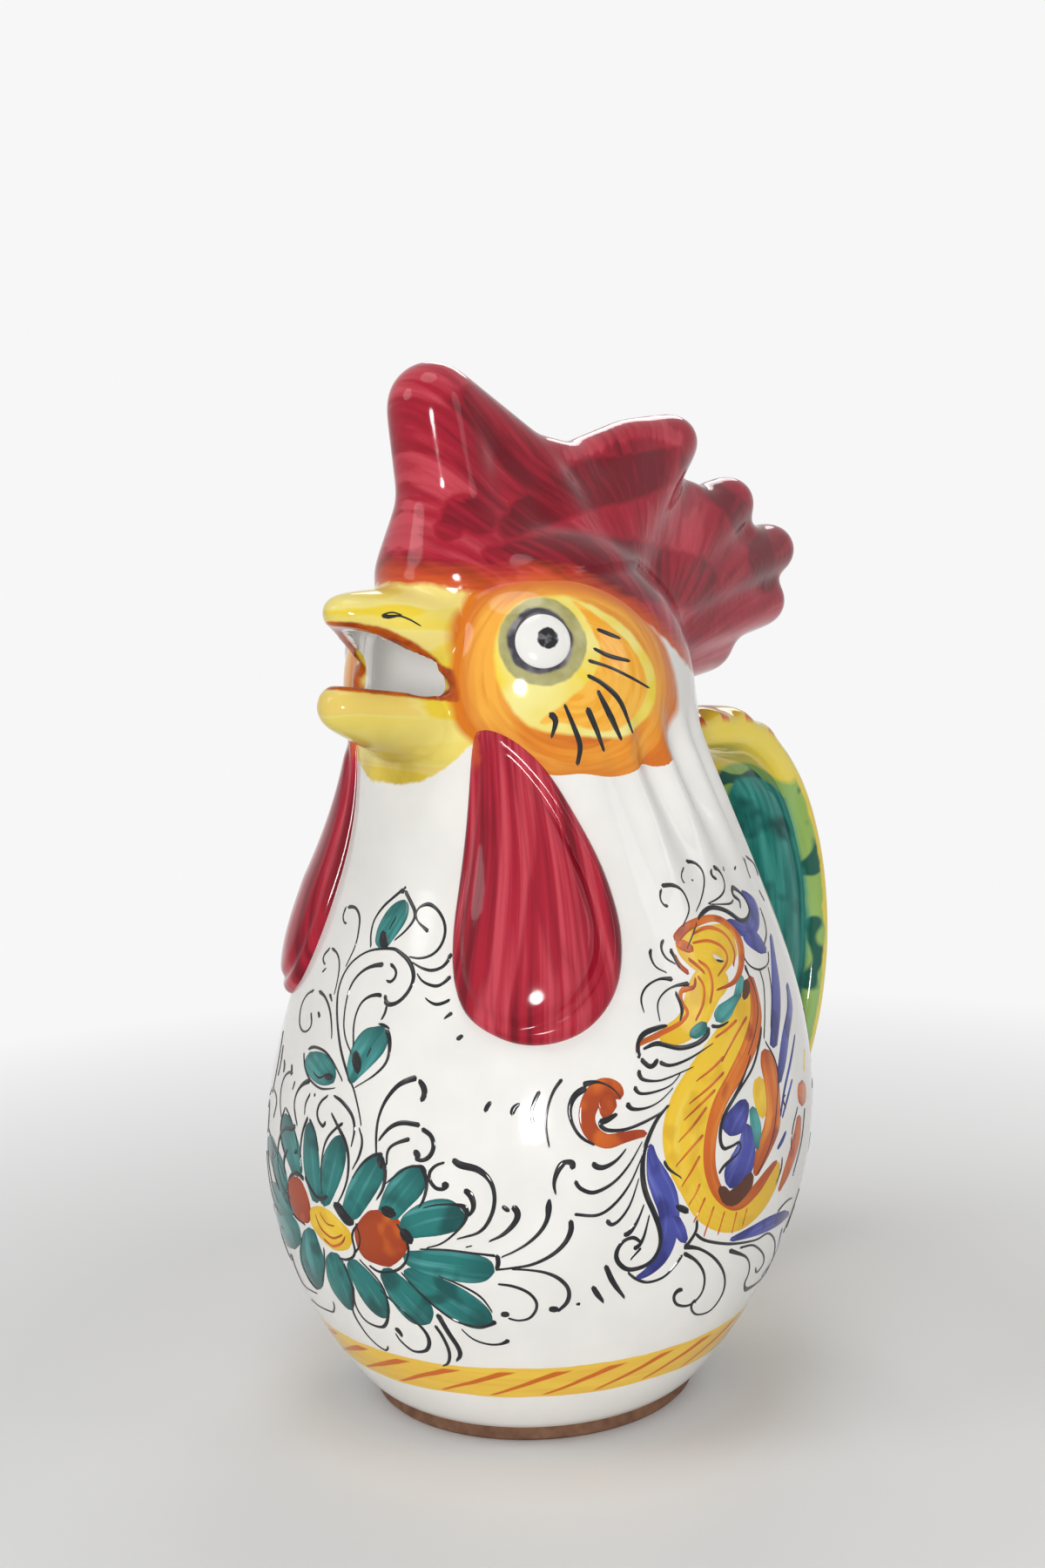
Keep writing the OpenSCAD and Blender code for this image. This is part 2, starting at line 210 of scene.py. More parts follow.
def skin_radius(z):
    z = np.asarray(z, float)
    rise, fall = share_of(z, FOOT_H, BELLY_Z), share_of(z, BELLY_Z, NECK_Z)
    belly = BASE_R + (BELLY_R - BASE_R) * np.sin(math.pi / 2 * rise) ** BELLY_POWER
    shoulder = NECK_R + (BELLY_R - NECK_R) * np.cos(math.pi / 2 * fall) ** SHOULDER_POWER
    dome = NECK_R * np.sqrt(np.maximum(0, 1 - share_of(z, NECK_Z, CROWN_Z) ** 3))
    return np.where(z < BELLY_Z, belly, np.where(z < NECK_Z, shoulder, dome))


def skin_back(z):
    """How far behind the axis the middle of the skin lies."""
    z = np.asarray(z, float)
    rising = SHOULDER_BACK * (1 - np.cos(math.pi * z / SHOULDER_Z)) / 2
    fade = (1 + np.cos(math.pi * share_of(z, SHOULDER_Z, SHOULDER_Z + FADE_H))) / 2
    return np.where(z < SHOULDER_Z, rising, HEAD_BACK + (SHOULDER_BACK - HEAD_BACK) * fade)


def skin_lean(z):
    """The angle by which the skin leans inwards."""
    return np.arctan2(skin_radius(z - 2) - skin_radius(z + 2), 4)


print("belly", skin_radius(BELLY_Z), "neck", skin_radius(190))

# %% Places on the skin
PLEAT_H, PLEAT_WIDTH, PLEAT_START = 1.7, 15, 74


def pleats(azimuth, z):
    """The soft folds of the neck behind and under each cheek."""
    side = np.abs(azimuth)
    fade = share_of(side, 66, 80) * (1 - share_of(side, 116, 140))
    fade = fade * share_of(z, 138, 176) ** 1.5 * (1 - share_of(z, 188, 206))
    slant = side - PLEAT_START + 0.12 * (z - 180)
    return PLEAT_H * fade * (np.sin(np.radians(slant * 360 / PLEAT_WIDTH)) + 0.15)


def on_skin(azimuth, z, out=0.0):
    """Points at angles from the beak in degrees and at heights, moved out by some millimetres."""
    azimuth, z = np.asarray(azimuth, float), np.asarray(z, float)
    lean = skin_lean(z)
    radius = skin_radius(z) + pleats(azimuth, z) + out * np.cos(lean)
    azimuth = np.radians(azimuth)
    y = skin_back(z) - radius * np.cos(azimuth)
    return np.stack([radius * np.sin(azimuth), y, z + out * np.sin(lean)], -1)


def unwrap(points):
    """The angle from the beak, the height, and the height over the skin of each point."""
    x, y, z = points.T
    y = y - skin_back(z)
    return np.degrees(np.arctan2(x, -y)), z, (np.hypot(x, y) - skin_radius(z)) * np.cos(skin_lean(z))

# %% [markdown]
# ## The body
# A potter throws a round form on the wheel. Here its profile is drawn as a line of points, and the
# spin operator turns it round the axis. The poles are merged, the normals set outwards, and each
# ring is then moved back by the lean of the skin. Spinning gives the even wall of a thrown pot.


# %% Throw a form
def thrown(name, profile, steps):
    """A line of (radius, height), spun round the axis, then moved back with the skin."""
    obj = drawn(name, [(r, 0, z) for r, z in profile], [(i, i + 1) for i in range(len(profile) - 1)], [])
    in_edit_mode(
        obj,
        lambda: bpy.ops.mesh.spin(steps=steps, angle=2 * math.pi, center=(0, 0, 0), axis=(0, 0, 1)),
        lambda: bpy.ops.mesh.select_all(action="SELECT"),
        lambda: bpy.ops.mesh.remove_doubles(threshold=0.00001),
        lambda: bpy.ops.mesh.normals_make_consistent(inside=False),
    )
    points = points_of(obj)
    points[:, 1] += skin_back(points[:, 2])
    set_points(obj, points)
    return obj


def wall_profile(heights, out):
    return [(float(skin_radius(z)) + out, float(z)) for z in heights]


WALL, FLOOR_Z, JOINT_Z = 5, FOOT_H + 6, 188
outside = wall_profile(np.linspace(FOOT_H, JOINT_Z, 150), 0)
inside = wall_profile(np.linspace(JOINT_Z, FLOOR_Z, 50), -WALL)
under, floor_inside = [(0, FOOT_H), (20, FOOT_H), (40, FOOT_H)], [(25, FLOOR_Z), (0, FLOOR_Z)]
body = thrown("body", under + outside + inside + floor_inside, 288)
report(body)

# %% Press the pleats into its neck
points = points_of(body)
azimuth, z, out = unwrap(points)
on_outside = (out > -0.5) & (z > FOOT_H + 1)
set_points(body, np.where(on_outside[:, None], on_skin(azimuth, z), points))
print("pleated", on_outside.sum(), "points")

# %% [markdown]
# ## The foot ring
# The pitcher stands on a ring that is turned from the thick bottom and wiped free of glaze, so that
# it doesn't stick in the kiln. A cylinder would have hard corners, and a spun profile has the small
# chamfers that a turning tool leaves.

# %% Foot ring
FOOT_IN, FOOT_OUT = 38.5, 47.5
foot = thrown("foot", [(FOOT_IN, 0.8), (39.3, 0), (46.6, 0), (FOOT_OUT, 0.9), (FOOT_OUT, FOOT_H), (FOOT_IN, FOOT_H),
                       (FOOT_IN, 0.8)], 192)
points = points_of(foot)
points[:, 1] -= skin_back(points[:, 2])
set_points(foot, points)
report(foot)

# %% [markdown]
# ## Lumps of clay
# Comb and beak are built up from lumps, as a modeller presses clay together. A lump is a sphere
# with its own half sizes, and the convex hull of two lumps is the bridge of clay between them.


# %% Lumps and bridges
def lump(at, half):
    place = [c * MM for c in at]
    bpy.ops.mesh.primitive_uv_sphere_add(segments=24, ring_count=12, radius=MM, location=place, scale=half)
    bpy.ops.object.transform_apply()
    return bpy.context.object


def bridge(*lumps):
    """The clay between lumps, each given as its place and its half sizes."""
    obj = joined("bridge", [lump(at, half) for at, half in lumps])
    return in_edit_mode(obj, bpy.ops.mesh.convex_hull)


def chain(stations):
    return [bridge(a, b) for a, b in zip(stations, stations[1:])]


def blend(a, b, t):
    return a + (b - a) * t


# %% [markdown]
# ## The comb
# The comb has five rounded points over one broad base. Each place is a share of the radius of the
# neck, of the reach of the comb behind the axis, and of its height over the crown.

# %% Comb places
TOP_Z, COMB_ROOT_Z, COMB_REACH = 300, 228, 127
COMB_H = TOP_Z - COMB_ROOT_Z
THICK, THIN, BROAD, ROUND = 13, 8, 10.5, 9.2
MID, WEB = (THICK + THIN) / 2, 8.5


def root(place, half):
    """A lump of the base, in shares of the neck's radius and of the comb's height."""
    at = [0, place[0] * NECK_R, COMB_ROOT_Z + place[1] * COMB_H]
    return at, [half[0] * NECK_R, half[1] * NECK_R, half[2] * COMB_H]


def tip(reach, height, half_x=BROAD, half_r=ROUND):
    """A lump in the plane of the comb, in shares of its reach and height."""
    return [0, reach * COMB_REACH, COMB_ROOT_Z + height * COMB_H], [half_x, half_r, half_r]


FRONT_ROOT = root((-0.42, 0.17), (0.47, 0.43, 0.22))
WAIST_ROOT = root((-0.43, 0.46), (0.28, 0.29, 0.14))
CROWN_ROOT = root((0.06, 0.08), (0.78, 0.79, 0.33))
MID_ROOT = root((0.18, 0.14), (0.66, 0.46, 0.20))
BACK_ROOT = root((0.40, -0.03), (0.66, 0.44, 0.20))
NAPE_ROOT = root((0.46, -0.16), (0.62, 0.42, 0.17))
LOW_ROOT = root((0.50, -0.25), (0.55, 0.40, 0.14))
FRONT_POINT, SADDLE = tip(-0.21, 0.82, THICK, THICK), tip(0.06, 0.60, MID, MID)
VALLEY, SECOND_START = tip(0.21, 0.59, MID - 1, THIN), tip(0.42, 0.70, BROAD, THIN)
SECOND_POINT, THIRD_POINT, FOURTH_POINT = tip(0.567, 0.712), tip(0.782, 0.448), tip(0.945, 0.235)
FIFTH_POINT, NAPE_POINT = tip(0.902, 0.005), tip(0.68, -0.16, BROAD, MID)
print("comb from", COMB_ROOT_Z, "to", TOP_Z)


# %% Comb lumps
def web(reach, height):
    """The thinner clay between two points."""
    return tip(reach, height, WEB, THIN)


comb_bridges = [
    (FRONT_ROOT, WAIST_ROOT), (WAIST_ROOT, FRONT_POINT), (WAIST_ROOT, SADDLE), (MID_ROOT, SADDLE),
    (FRONT_POINT, SADDLE), (FRONT_ROOT, SADDLE), (MID_ROOT, VALLEY), (SADDLE, VALLEY), (VALLEY, SECOND_START),
    (MID_ROOT, SECOND_START), (MID_ROOT, SECOND_POINT), (SECOND_START, SECOND_POINT), (MID_ROOT, web(0.62, 0.45)),
    (BACK_ROOT, web(0.62, 0.45)), (BACK_ROOT, THIRD_POINT), (BACK_ROOT, web(0.79, 0.27)),
    (BACK_ROOT, FOURTH_POINT), (NAPE_ROOT, web(0.86, 0.10)), (NAPE_ROOT, FIFTH_POINT), (LOW_ROOT, NAPE_POINT),
    (web(0.72, 0.44), web(0.80, 0.29)), (web(0.80, 0.29), web(0.90, 0.20)), (web(0.88, 0.20), web(0.86, 0.03)),
]
comb_clay = [bridge(a, b) for a, b in comb_bridges] + [lump(*CROWN_ROOT)]
print("comb bridges", len(comb_clay))

# %% [markdown]
# ## The beak
# The two halves of the beak are chains of lumps from the head to the tip. Their outer forms are
# built first. The same chains, thinner by the wall, are the hollow that is taken out later.

# %% Beak lumps
SEAM_Z, MOUTH_Y, MOUTH_Z, MOUTH_GAP = 238.5, 41, 211, 5.4
UPPER_REACH, LOWER_REACH, BEAK_WALL = 67.5, 70.7, 4
BEAK_ROOT_W, BEAK_TIP_W, BEAK_TIP_TOP_Z = 21.5, 7, 237.5
JAW_Z, CHIN_Z, UPPER_LIP_Z, LOWER_LIP_Z = 187, 200, 228.5, 213.6
TIP_LENGTH = BEAK_TIP_W * 0.8


def snout(top_root, top_tip, low_root, low_tip, reach, inset):
    """One half of the beak, thinner on all sides by the inset."""
    stations = []
    for t in np.linspace(0, 1, 9):
        top, low = blend(top_root, top_tip, t), blend(low_root, low_tip, t)
        width = blend(BEAK_ROOT_W, BEAK_TIP_W, t ** 1.5)
        at = [0, -blend(MOUTH_Y - BEAK_WALL, reach - TIP_LENGTH, t), (top + low) / 2]
        stations.append((at, [max(1.2, h - inset) for h in (width, TIP_LENGTH, (top - low) / 2)]))
    return chain(stations)


def both_halves(inset):
    upper_low = UPPER_LIP_Z - BEAK_WALL / 2
    return (snout(SEAM_Z, BEAK_TIP_TOP_Z, JAW_Z + 0.9 * BEAK_ROOT_W, upper_low, UPPER_REACH, inset)
            + snout(MOUTH_Z + BEAK_WALL / 2, LOWER_LIP_Z, JAW_Z, CHIN_Z, LOWER_REACH, inset))


beak_clay = both_halves(0)
print("beak bridges", len(beak_clay))

# %% [markdown]
# ## One head
# A modeller smooths comb, beak and head into each other with a wet finger. Here the lumps and the
# dome are joined, a voxel remesh makes them one skin, and repeated smoothing rounds every joint.


# %% Smooth with a wet finger
def relaxed(obj, times):
    """Moves each vertex half way to the middle of its neighbours, some times over."""
    points = points_of(obj)
    edges = np.empty(len(obj.data.edges) * 2, np.int64)
    obj.data.edges.foreach_get("vertices", edges)
    a, b = edges.reshape(-1, 2).T
    size = len(points)
    neighbours = np.bincount(a, minlength=size) + np.bincount(b, minlength=size)
    for _ in range(times):
        total = np.stack([np.bincount(a, points[b, i], size) + np.bincount(b, points[a, i], size) for i in range(3)], 1)
        points += 0.5 * (total / neighbours[:, None] - points)
    set_points(obj, points)


# %% Join and smooth the head
VOXEL, FINE_VOXEL = 1.1 * MM, 0.9 * MM
dome = thrown("dome", [(0, 160)] + wall_profile(np.linspace(160, CROWN_Z - 0.01, 60), 0) + [(0, CROWN_Z)], 96)
head = joined("head", [dome] + comb_clay + beak_clay)
applied(head, "REMESH", mode="VOXEL", voxel_size=VOXEL)
relaxed(head, 24)
outer_tree = BVHTree.FromObject(head, bpy.context.evaluated_depsgraph_get())
report(head)

# %% [markdown]
# ## The hollow
# The pitcher is filled and poured through the beak, so the head is hollow up to the crown and the
# beak is a shell. The hollow is built the same way, as a solid, and taken out with a boolean. The
# mouth is a wedge between the edges of the two halves.


# %% Cutters
def prism(name, outline, half_width):
    """An outline of (y, z) points, extruded across the pitcher."""
    obj = drawn(name, [(-half_width, y, z) for y, z in outline], [], [list(range(len(outline)))])
    across = {"value": (2 * half_width * MM, 0, 0)}
    return in_edit_mode(
        obj,
        lambda: bpy.ops.mesh.extrude_region_move(TRANSFORM_OT_translate=across),
        lambda: bpy.ops.mesh.select_all(action="SELECT"),
        lambda: bpy.ops.mesh.normals_make_consistent(inside=False),
    )


def cut(obj, cutter, operation, keep_cutter=False):
    applied(obj, "BOOLEAN", operation=operation, object=cutter, solver="MANIFOLD")
    if not keep_cutter:
        bpy.data.objects.remove(cutter)
    return obj


# %% Hollow and mouth
throat = chain([
    ([0, -blend(MOUTH_Y - 3 * WALL, MOUTH_Y + BEAK_WALL, t), blend(MOUTH_Z, MOUTH_Z + BEAK_WALL, t)],
     [BEAK_ROOT_W - 1.4 * BEAK_WALL, BEAK_WALL, blend(4 * BEAK_WALL, 5 * BEAK_WALL, t)])
    for t in np.linspace(0, 1, 5)])
hollow_top = CROWN_Z - WALL
hollow_profile = [(0, 150)] + wall_profile(np.linspace(150, hollow_top, 60), -WALL) + [(0, hollow_top)]
hollow = joined("hollow", [thrown("hollow_dome", hollow_profile, 96)] + throat + both_halves(BEAK_WALL))
applied(hollow, "REMESH", mode="VOXEL", voxel_size=VOXEL)
relaxed(hollow, 6)

steps = np.linspace(0, 1, 9)
upper_gum, lower_gum = MOUTH_Z + MOUTH_GAP / 2, MOUTH_Z - MOUTH_GAP / 2
upper_edge = [(-blend(MOUTH_Y, UPPER_REACH, t), blend(upper_gum, UPPER_LIP_Z, 1 - (1 - t) ** 2)) for t in steps]
lower_edge = [(-blend(MOUTH_Y, LOWER_REACH, t), blend(lower_gum, LOWER_LIP_Z, t)) for t in steps]
mouth_wedge = upper_edge + [(-90, UPPER_LIP_Z), (-90, LOWER_LIP_Z)] + lower_edge[::-1]
cut(head, hollow, "DIFFERENCE")
cut(head, prism("mouth", mouth_wedge, 40), "DIFFERENCE")
report(head)

# %% [markdown]
# ## Rounding the lips
# The cut leaves sharp lips. A second remesh gives them even faces, and a few more rounds of
# smoothing make them as soft as glaze does. Where the head lies close to the skin formula it is
# then set exactly on it, so that it meets the body with no step.

# %% Round and fit
applied(head, "REMESH", mode="VOXEL", voxel_size=FINE_VOXEL)
relaxed(head, 7)
points = points_of(head)
azimuth, z, out = unwrap(points)
near = np.clip(1.6 - np.abs(out), 0, 1) * (z < 245)
points += near[:, None] * (on_skin(azimuth, z) - points)
set_points(head, points)
report(head)

# %% [markdown]
# ## Four pieces out of one head
# Head, comb and the two halves of the beak are separate nodes of the CAD model, though slip and
# glaze hide where they meet. They are modelled as one form and cut apart at the end, so the
# surfaces run on from piece to piece with no gap.

# %% Cut the head into its pieces
BEAK_CUT_Y, FAR, SEAM_BACK_Z = -43.5, 200, 201
below_joint = prism("below_joint", [(-120, 100), (160, 100), (160, JOINT_Z), (-120, JOINT_Z)], 90)
cut(head, below_joint, "DIFFERENCE")
over_seam = prism("over_seam", [
    (BEAK_CUT_Y, SEAM_Z), (-0.3 * NECK_R, SEAM_Z), (HEAD_BACK + NECK_R, SEAM_BACK_Z), (FAR, SEAM_BACK_Z),
    (FAR, 330), (BEAK_CUT_Y, 330)], 90)
in_front = prism("in_front", [(-120, 150), (BEAK_CUT_Y, 150), (BEAK_CUT_Y, 330), (-120, 330)], 90)

comb = cut(copied(head, "comb"), over_seam, "INTERSECT", keep_cutter=True)
beak = cut(copied(head, "upper_beak"), in_front, "INTERSECT", keep_cutter=True)
cut(head, over_seam, "DIFFERENCE")
cut(head, in_front, "DIFFERENCE")
pick(beak)
bpy.ops.mesh.separate(type="LOOSE")
upper_beak, lower_beak = sorted(bpy.context.selected_objects, key=lambda obj: -points_of(obj)[:, 2].mean())
upper_beak.name, lower_beak.name = "upper_beak", "lower_beak"
for obj in (head, comb, upper_beak, lower_beak):
    report(obj)

# %% [markdown]
# ## Pads that lie on the skin
# Wattles, cheeks and eyes are flat pieces of clay pressed onto the head. Each starts as a sphere.
# Its rings are drawn out to the outline of the piece, its upper half swells over the skin, and its
# lower half lies just inside it, so the piece is closed all round.

# %% Pads
EDGE_STEPS = 720


def rounded(outline, count):
    """A closed, smooth line through the points of an outline (a Catmull-Rom spline)."""
    p = np.array(outline, float)
    t = np.linspace(0, len(p), count, endpoint=False)
    i = t.astype(int)
    return spline([p[(i + k) % len(p)] for k in (-1, 0, 1, 2)], (t - i)[:, None])


def spline(corners, t):
    a, b, c, d = corners
    return 0.5 * (2 * b + (c - a) * t + (2 * a - 5 * b + 4 * c - d) * t ** 2 + (3 * b - a - 3 * c + d) * t ** 3)


def pad(name, middle, outline, swell, bury, segments, rings):
    """A piece with this outline of (angle, height); swell says how far out, from 0 at the middle to 1."""
    bpy.ops.mesh.primitive_uv_sphere_add(segments=segments, ring_count=rings, radius=1)
    obj = named(name)
    sphere = points_of(obj) * MM
    share = np.hypot(sphere[:, 0], sphere[:, 1]).clip(0, 1)
    edge = rounded(outline, EDGE_STEPS)
    turn = np.arctan2(sphere[:, 1], sphere[:, 0]) / (2 * math.pi) * EDGE_STEPS % EDGE_STEPS
    low = turn.astype(int) % EDGE_STEPS
    rim = edge[low] + (edge[(low + 1) % EDGE_STEPS] - edge[low]) * (turn - turn.astype(int))[:, None]
    place = np.array(middle) + (rim - np.array(middle)) * share[:, None]
    out = np.where(sphere[:, 2] > -1e-4, swell(share, place), -bury)
    set_points(obj, on_skin(place[:, 0], place[:, 1], out))
    return facing_out(obj)


def mirrored(obj, name):
    """The same piece on the other side."""
    other = copied(obj, name)
    set_points(other, points_of(other) * np.array([-1, 1, 1]))
    return in_edit_mode(other, bpy.ops.mesh.flip_normals)


# %% [markdown]
# ## The wattles
# A rooster's wattles hang at its throat. These are thick drops of clay, pressed on, with a groove
# inside the rim where the modeller's tool ran round. The groove is part of the shape and not a bump
# in the finish, because it bends the highlight.

# %% Wattles
WATTLE_MID, WATTLE_HALF, WATTLE_LOW, WATTLE_HIGH, WATTLE_BULGE = 43.5, 19.5, 118.5, 199.5, 7.6
wattle_outline = [(WATTLE_MID + a * WATTLE_HALF, blend(WATTLE_LOW, WATTLE_HIGH, h)) for a, h in [
    (-0.52, 1), (-0.76, 0.93), (-0.97, 0.60), (-1, 0.30), (-0.80, 0.11), (-0.36, 0.02), (0.10, 0), (0.55, 0.045),
    (0.88, 0.16), (1, 0.33), (0.90, 0.52), (0.66, 0.70), (0.34, 0.86), (-0.10, 0.97)]]


def wattle_swell(share, place):
    """A full drop that thins towards its top, with a groove that is wider and deeper at the rear."""
    dome = np.sqrt(np.maximum(0, 1 - share ** 2.6))
    rear = share_of((place[:, 0] - WATTLE_MID) / WATTLE_HALF, -0.2, 0.5)
    from_groove = (share - blend(0.87, 0.73, rear)) / blend(0.05, 0.09, rear)
    groove = blend(1.0, 3.2, rear) * np.exp(-from_groove ** 2)
    taper = 0.45 + 0.55 * (1 - share_of(place[:, 1], 150, 200))
    return WATTLE_BULGE * dome * taper - groove * taper


wattle_middle = (WATTLE_MID, blend(WATTLE_LOW, WATTLE_HIGH, 0.35))
left_wattle = pad("left_wattle", wattle_middle, wattle_outline, wattle_swell, 0.8, 160, 96)
right_wattle = mirrored(left_wattle, "right_wattle")
report(left_wattle)

# %% [markdown]
# ## The cheeks
# Each cheek is a low pad with a wavy lower edge, hardly thicker than the glaze on it. It could be
# painted only, but the real one catches the light along its rim, so it is a piece of its own.

# %% Cheeks
CHEEK_MIDDLE, CHEEK_BULGE = (62, 212), 1.7
cheek_outline = [
    (27, 222), (26.5, 212), (27, 205), (29, 200), (40, 193), (50, 186.5), (61, 186), (72, 184.5), (82, 187), (88, 186),
    (93, 188), (96, 195), (103, 203), (104, 211), (99, 221), (88, 232), (72, 238), (52, 239), (36, 237), (28, 232)]


def cheek_swell(share, place):
    return CHEEK_BULGE * (1 - share ** 4) - 0.15 * share


left_cheek = pad("left_cheek", CHEEK_MIDDLE, cheek_outline, cheek_swell, 0.5, 256, 160)
right_cheek = mirrored(left_cheek, "right_cheek")
report(left_cheek)

# %% [markdown]
# ## The eyes
# An eye is a flat button of clay on the cheek. A round outline is given in degrees and millimetres,
# so its width is divided by the length of one degree on the skin there.

# %% Eyes
EYE_AZIMUTH, EYE_Z, EYE_R, EYE_BULGE = 53, 222.5, 7.4, 1.5
MM_PER_DEGREE = math.radians(1) * float(skin_radius(EYE_Z))
eye_outline = [(EYE_AZIMUTH - EYE_R * math.sin(t) / MM_PER_DEGREE, EYE_Z + EYE_R * math.cos(t))
               for t in np.linspace(0, 2 * math.pi, 24, endpoint=False)]


def eye_swell(share, place):
    return CHEEK_BULGE - 0.2 + EYE_BULGE * np.sqrt(1 - share ** 2)


left_eye = pad("left_eye", (EYE_AZIMUTH, EYE_Z), eye_outline, eye_swell, -0.6, 96, 64)
right_eye = mirrored(left_eye, "right_eye")
report(left_eye)

# %% [markdown]
# ## The handle
# The handle is a strap that was pressed hollow on its inner face. It is lofted: a row of rings
# follows a smooth path, and each ring is a flat oval whose inner side sinks in. Three soft bumps at
# the top are marks of the bending.


# %% Smooth lines and lofts
def open_line(points, count):
    """A smooth, open line through points, with even steps."""
    p = np.array(points, float)
    p = np.vstack([2 * p[0] - p[1], p, 2 * p[-1] - p[-2]])
    t = np.linspace(0, len(p) - 3 - 1e-6, 60 * len(p))
    i = t.astype(int)
    line = spline([p[i], p[i + 1], p[i + 2], p[i + 3]], (t - i)[:, None])
    length = np.concatenate([[0], np.cumsum(np.linalg.norm(np.diff(line, axis=0), axis=1))])
    even = np.linspace(0, length[-1], count)
    return np.stack([np.interp(even, length, line[:, k]) for k in range(line.shape[1])], 1)


def loft_faces(rows, size, start=0):
    """The faces between rows of rings of points, with a cap on the first and the last ring."""
    index = start + np.arange(rows * size).reshape(rows, size)
    around = np.roll(index, -1, 1)
    sides = np.stack([index[:-1], around[:-1], around[1:], index[1:]], -1).reshape(-1, 4).tolist()
    return sides + [index[0][::-1].tolist(), index[-1].tolist()]


# %% Path of the strap
HANDLE_REACH, HANDLE_W, HANDLE_T, HANDLE_TOP, HANDLE_ROOT = 133.1, 32, 12, 194, 48
handle_shares = [(0.30, 0.97), (0.50, 1), (0.66, 1), (0.76, 0.975), (0.85, 0.915), (0.93, 0.81), (0.985, 0.66),
                 (1, 0.49), (0.975, 0.34), (0.925, 0.22), (0.86, 0.12), (0.76, 0.04), (0.62, 0), (0.50, 0)]
path = open_line([(y * (HANDLE_REACH - HANDLE_T / 2), blend(HANDLE_ROOT, HANDLE_TOP - HANDLE_T / 2, z))
                  for y, z in handle_shares], 200)
along = np.linspace(0, 1, len(path))
handle_length = float(np.linalg.norm(np.diff(path, axis=0), axis=1).sum())
heading = np.gradient(path, axis=0)
heading /= np.linalg.norm(heading, axis=1)[:, None]
outward = np.stack([-heading[:, 1], heading[:, 0]], 1)
outward *= np.sign(outward[len(path) // 2, 0])
print("strap", round(handle_length), "mm long")

# %% Rings of the strap
KNUCKLES = ((0.165, 1.8), (0.212, 2.4), (0.258, 1.8))
hollow_depth = 5.2 * share_of(along, 0.24, 0.36) * (1 - share_of(along, 0.80, 0.90))
knuckles = sum(high * np.exp(-((along - at) / 0.015) ** 2) for at, high in KNUCKLES)
theta = np.linspace(0, 2 * math.pi, 64, endpoint=False)
flat_x = np.sign(np.cos(theta)) * np.abs(np.cos(theta)) ** 0.62
flat_n = np.sign(np.sin(theta)) * np.abs(np.sin(theta)) ** 0.72
scoop = np.where(flat_n < 0, np.maximum(0, 1 - (flat_x / 0.74) ** 2) ** 0.8, 0)
rings = []
for k in range(len(path)):
    n = flat_n * HANDLE_T / 2 + hollow_depth[k] * scoop + knuckles[k] * np.where(flat_n > 0, flat_n, 0)
    rings.append(np.stack([flat_x * HANDLE_W / 2, path[k, 0] + n * outward[k, 0], path[k, 1] + n * outward[k, 1]], 1))
handle = facing_out(drawn("handle", np.concatenate(rings), [], loft_faces(len(path), len(theta))))
report(handle)

# %% [markdown]
# ## Floor and lamps
# The pitcher stands on a pale floor in soft studio light. The key lamp is small and low near the
# camera, and gives the round highlights on eye, wattle and beak. Four larger lamps fill the shadows.
# A faint lamp under the crown stands in for the light that a pale hollow throws about inside.

# %% Floor
bpy.ops.mesh.primitive_plane_add(size=6)
floor = named("floor")

# %% Lamps
LOOKED_AT = Vector((0, 0, 0.17))


def lamp(name, place, size, energy):
    data = bpy.data.lights.new(name, "AREA")
    data.shape, data.size, data.size_y, data.energy = "ELLIPSE", size[0], size[1], energy
    obj = bpy.data.objects.new(name, data)
    bpy.context.scene.collection.objects.link(obj)
    obj.location = place
    obj.rotation_euler = (LOOKED_AT - Vector(place)).to_track_quat("-Z", "Y").to_euler()


lamp("key", (0.81, -0.89, 0.29), (0.20, 0.20), 7.4)
lamp("left", (-0.35, -0.85, 0.75), (0.4, 0.4), 1.8)
lamp("side", (0.85, 0.35, 0.55), (0.3, 0.5), 0.9)
lamp("top", (0.1, -0.2, 1.1), (0.5, 0.5), 2.2)
lamp("back", (-0.6, 0.8, 0.9), (0.6, 0.4), 2.4)
lamp("inside_crown", (0, 0.008, 0.234), (0.02, 0.02), 0.012)
print("lamps", len(bpy.data.lights))

# %% [markdown]
# ## A pale background
# The world lights the pitcher softly, but the camera should see it nearly white. Light Path tells
# rays from the camera and mirrored rays from all others, and each kind sees its own shader.

# %% World
PALE = (0.93, 0.93, 0.93, 1)


def new_node(tree, kind, inputs=None, **settings):
    """A shader node; an input is set to a value, or linked where it is another node's socket."""
    node = tree.nodes.new("ShaderNode" + kind)
    for key, value in settings.items():
        setattr(node, key, value)
    for key, value in (inputs or {}).items():
        if isinstance(value, bpy.types.NodeSocket):
            tree.links.new(value, node.inputs[key])
        else:
            node.inputs[key].default_value = value
    return node


def white_for_camera(tree, output, lit, seen):
    """Camera, glossy and transmission rays see one shader, and the rest of the light another."""
    rays = new_node(tree, "LightPath").outputs
    either = rays["Is Camera Ray"]
    for ray in ("Is Glossy Ray", "Is Transmission Ray"):
        either = new_node(tree, "Math", {0: either, 1: rays[ray]}, operation="MAXIMUM").outputs[0]
    mix = new_node(tree, "MixShader", {0: either, 1: lit.outputs[0], 2: seen.outputs[0]})
    tree.links.new(mix.outputs[0], output.inputs["Surface"])


world = bpy.data.worlds.new("world")
bpy.context.scene.world = world
world.use_nodes = True
tree = world.node_tree
lit = tree.nodes["Background"]
lit.inputs["Color"].default_value = (1, 1, 1, 1)
lit.inputs["Strength"].default_value = 0.29
seen = new_node(tree, "Background", {"Color": PALE, "Strength": 1.0})
white_for_camera(tree, tree.nodes["World Output"], lit, seen)
print("world", len(tree.nodes), "nodes")

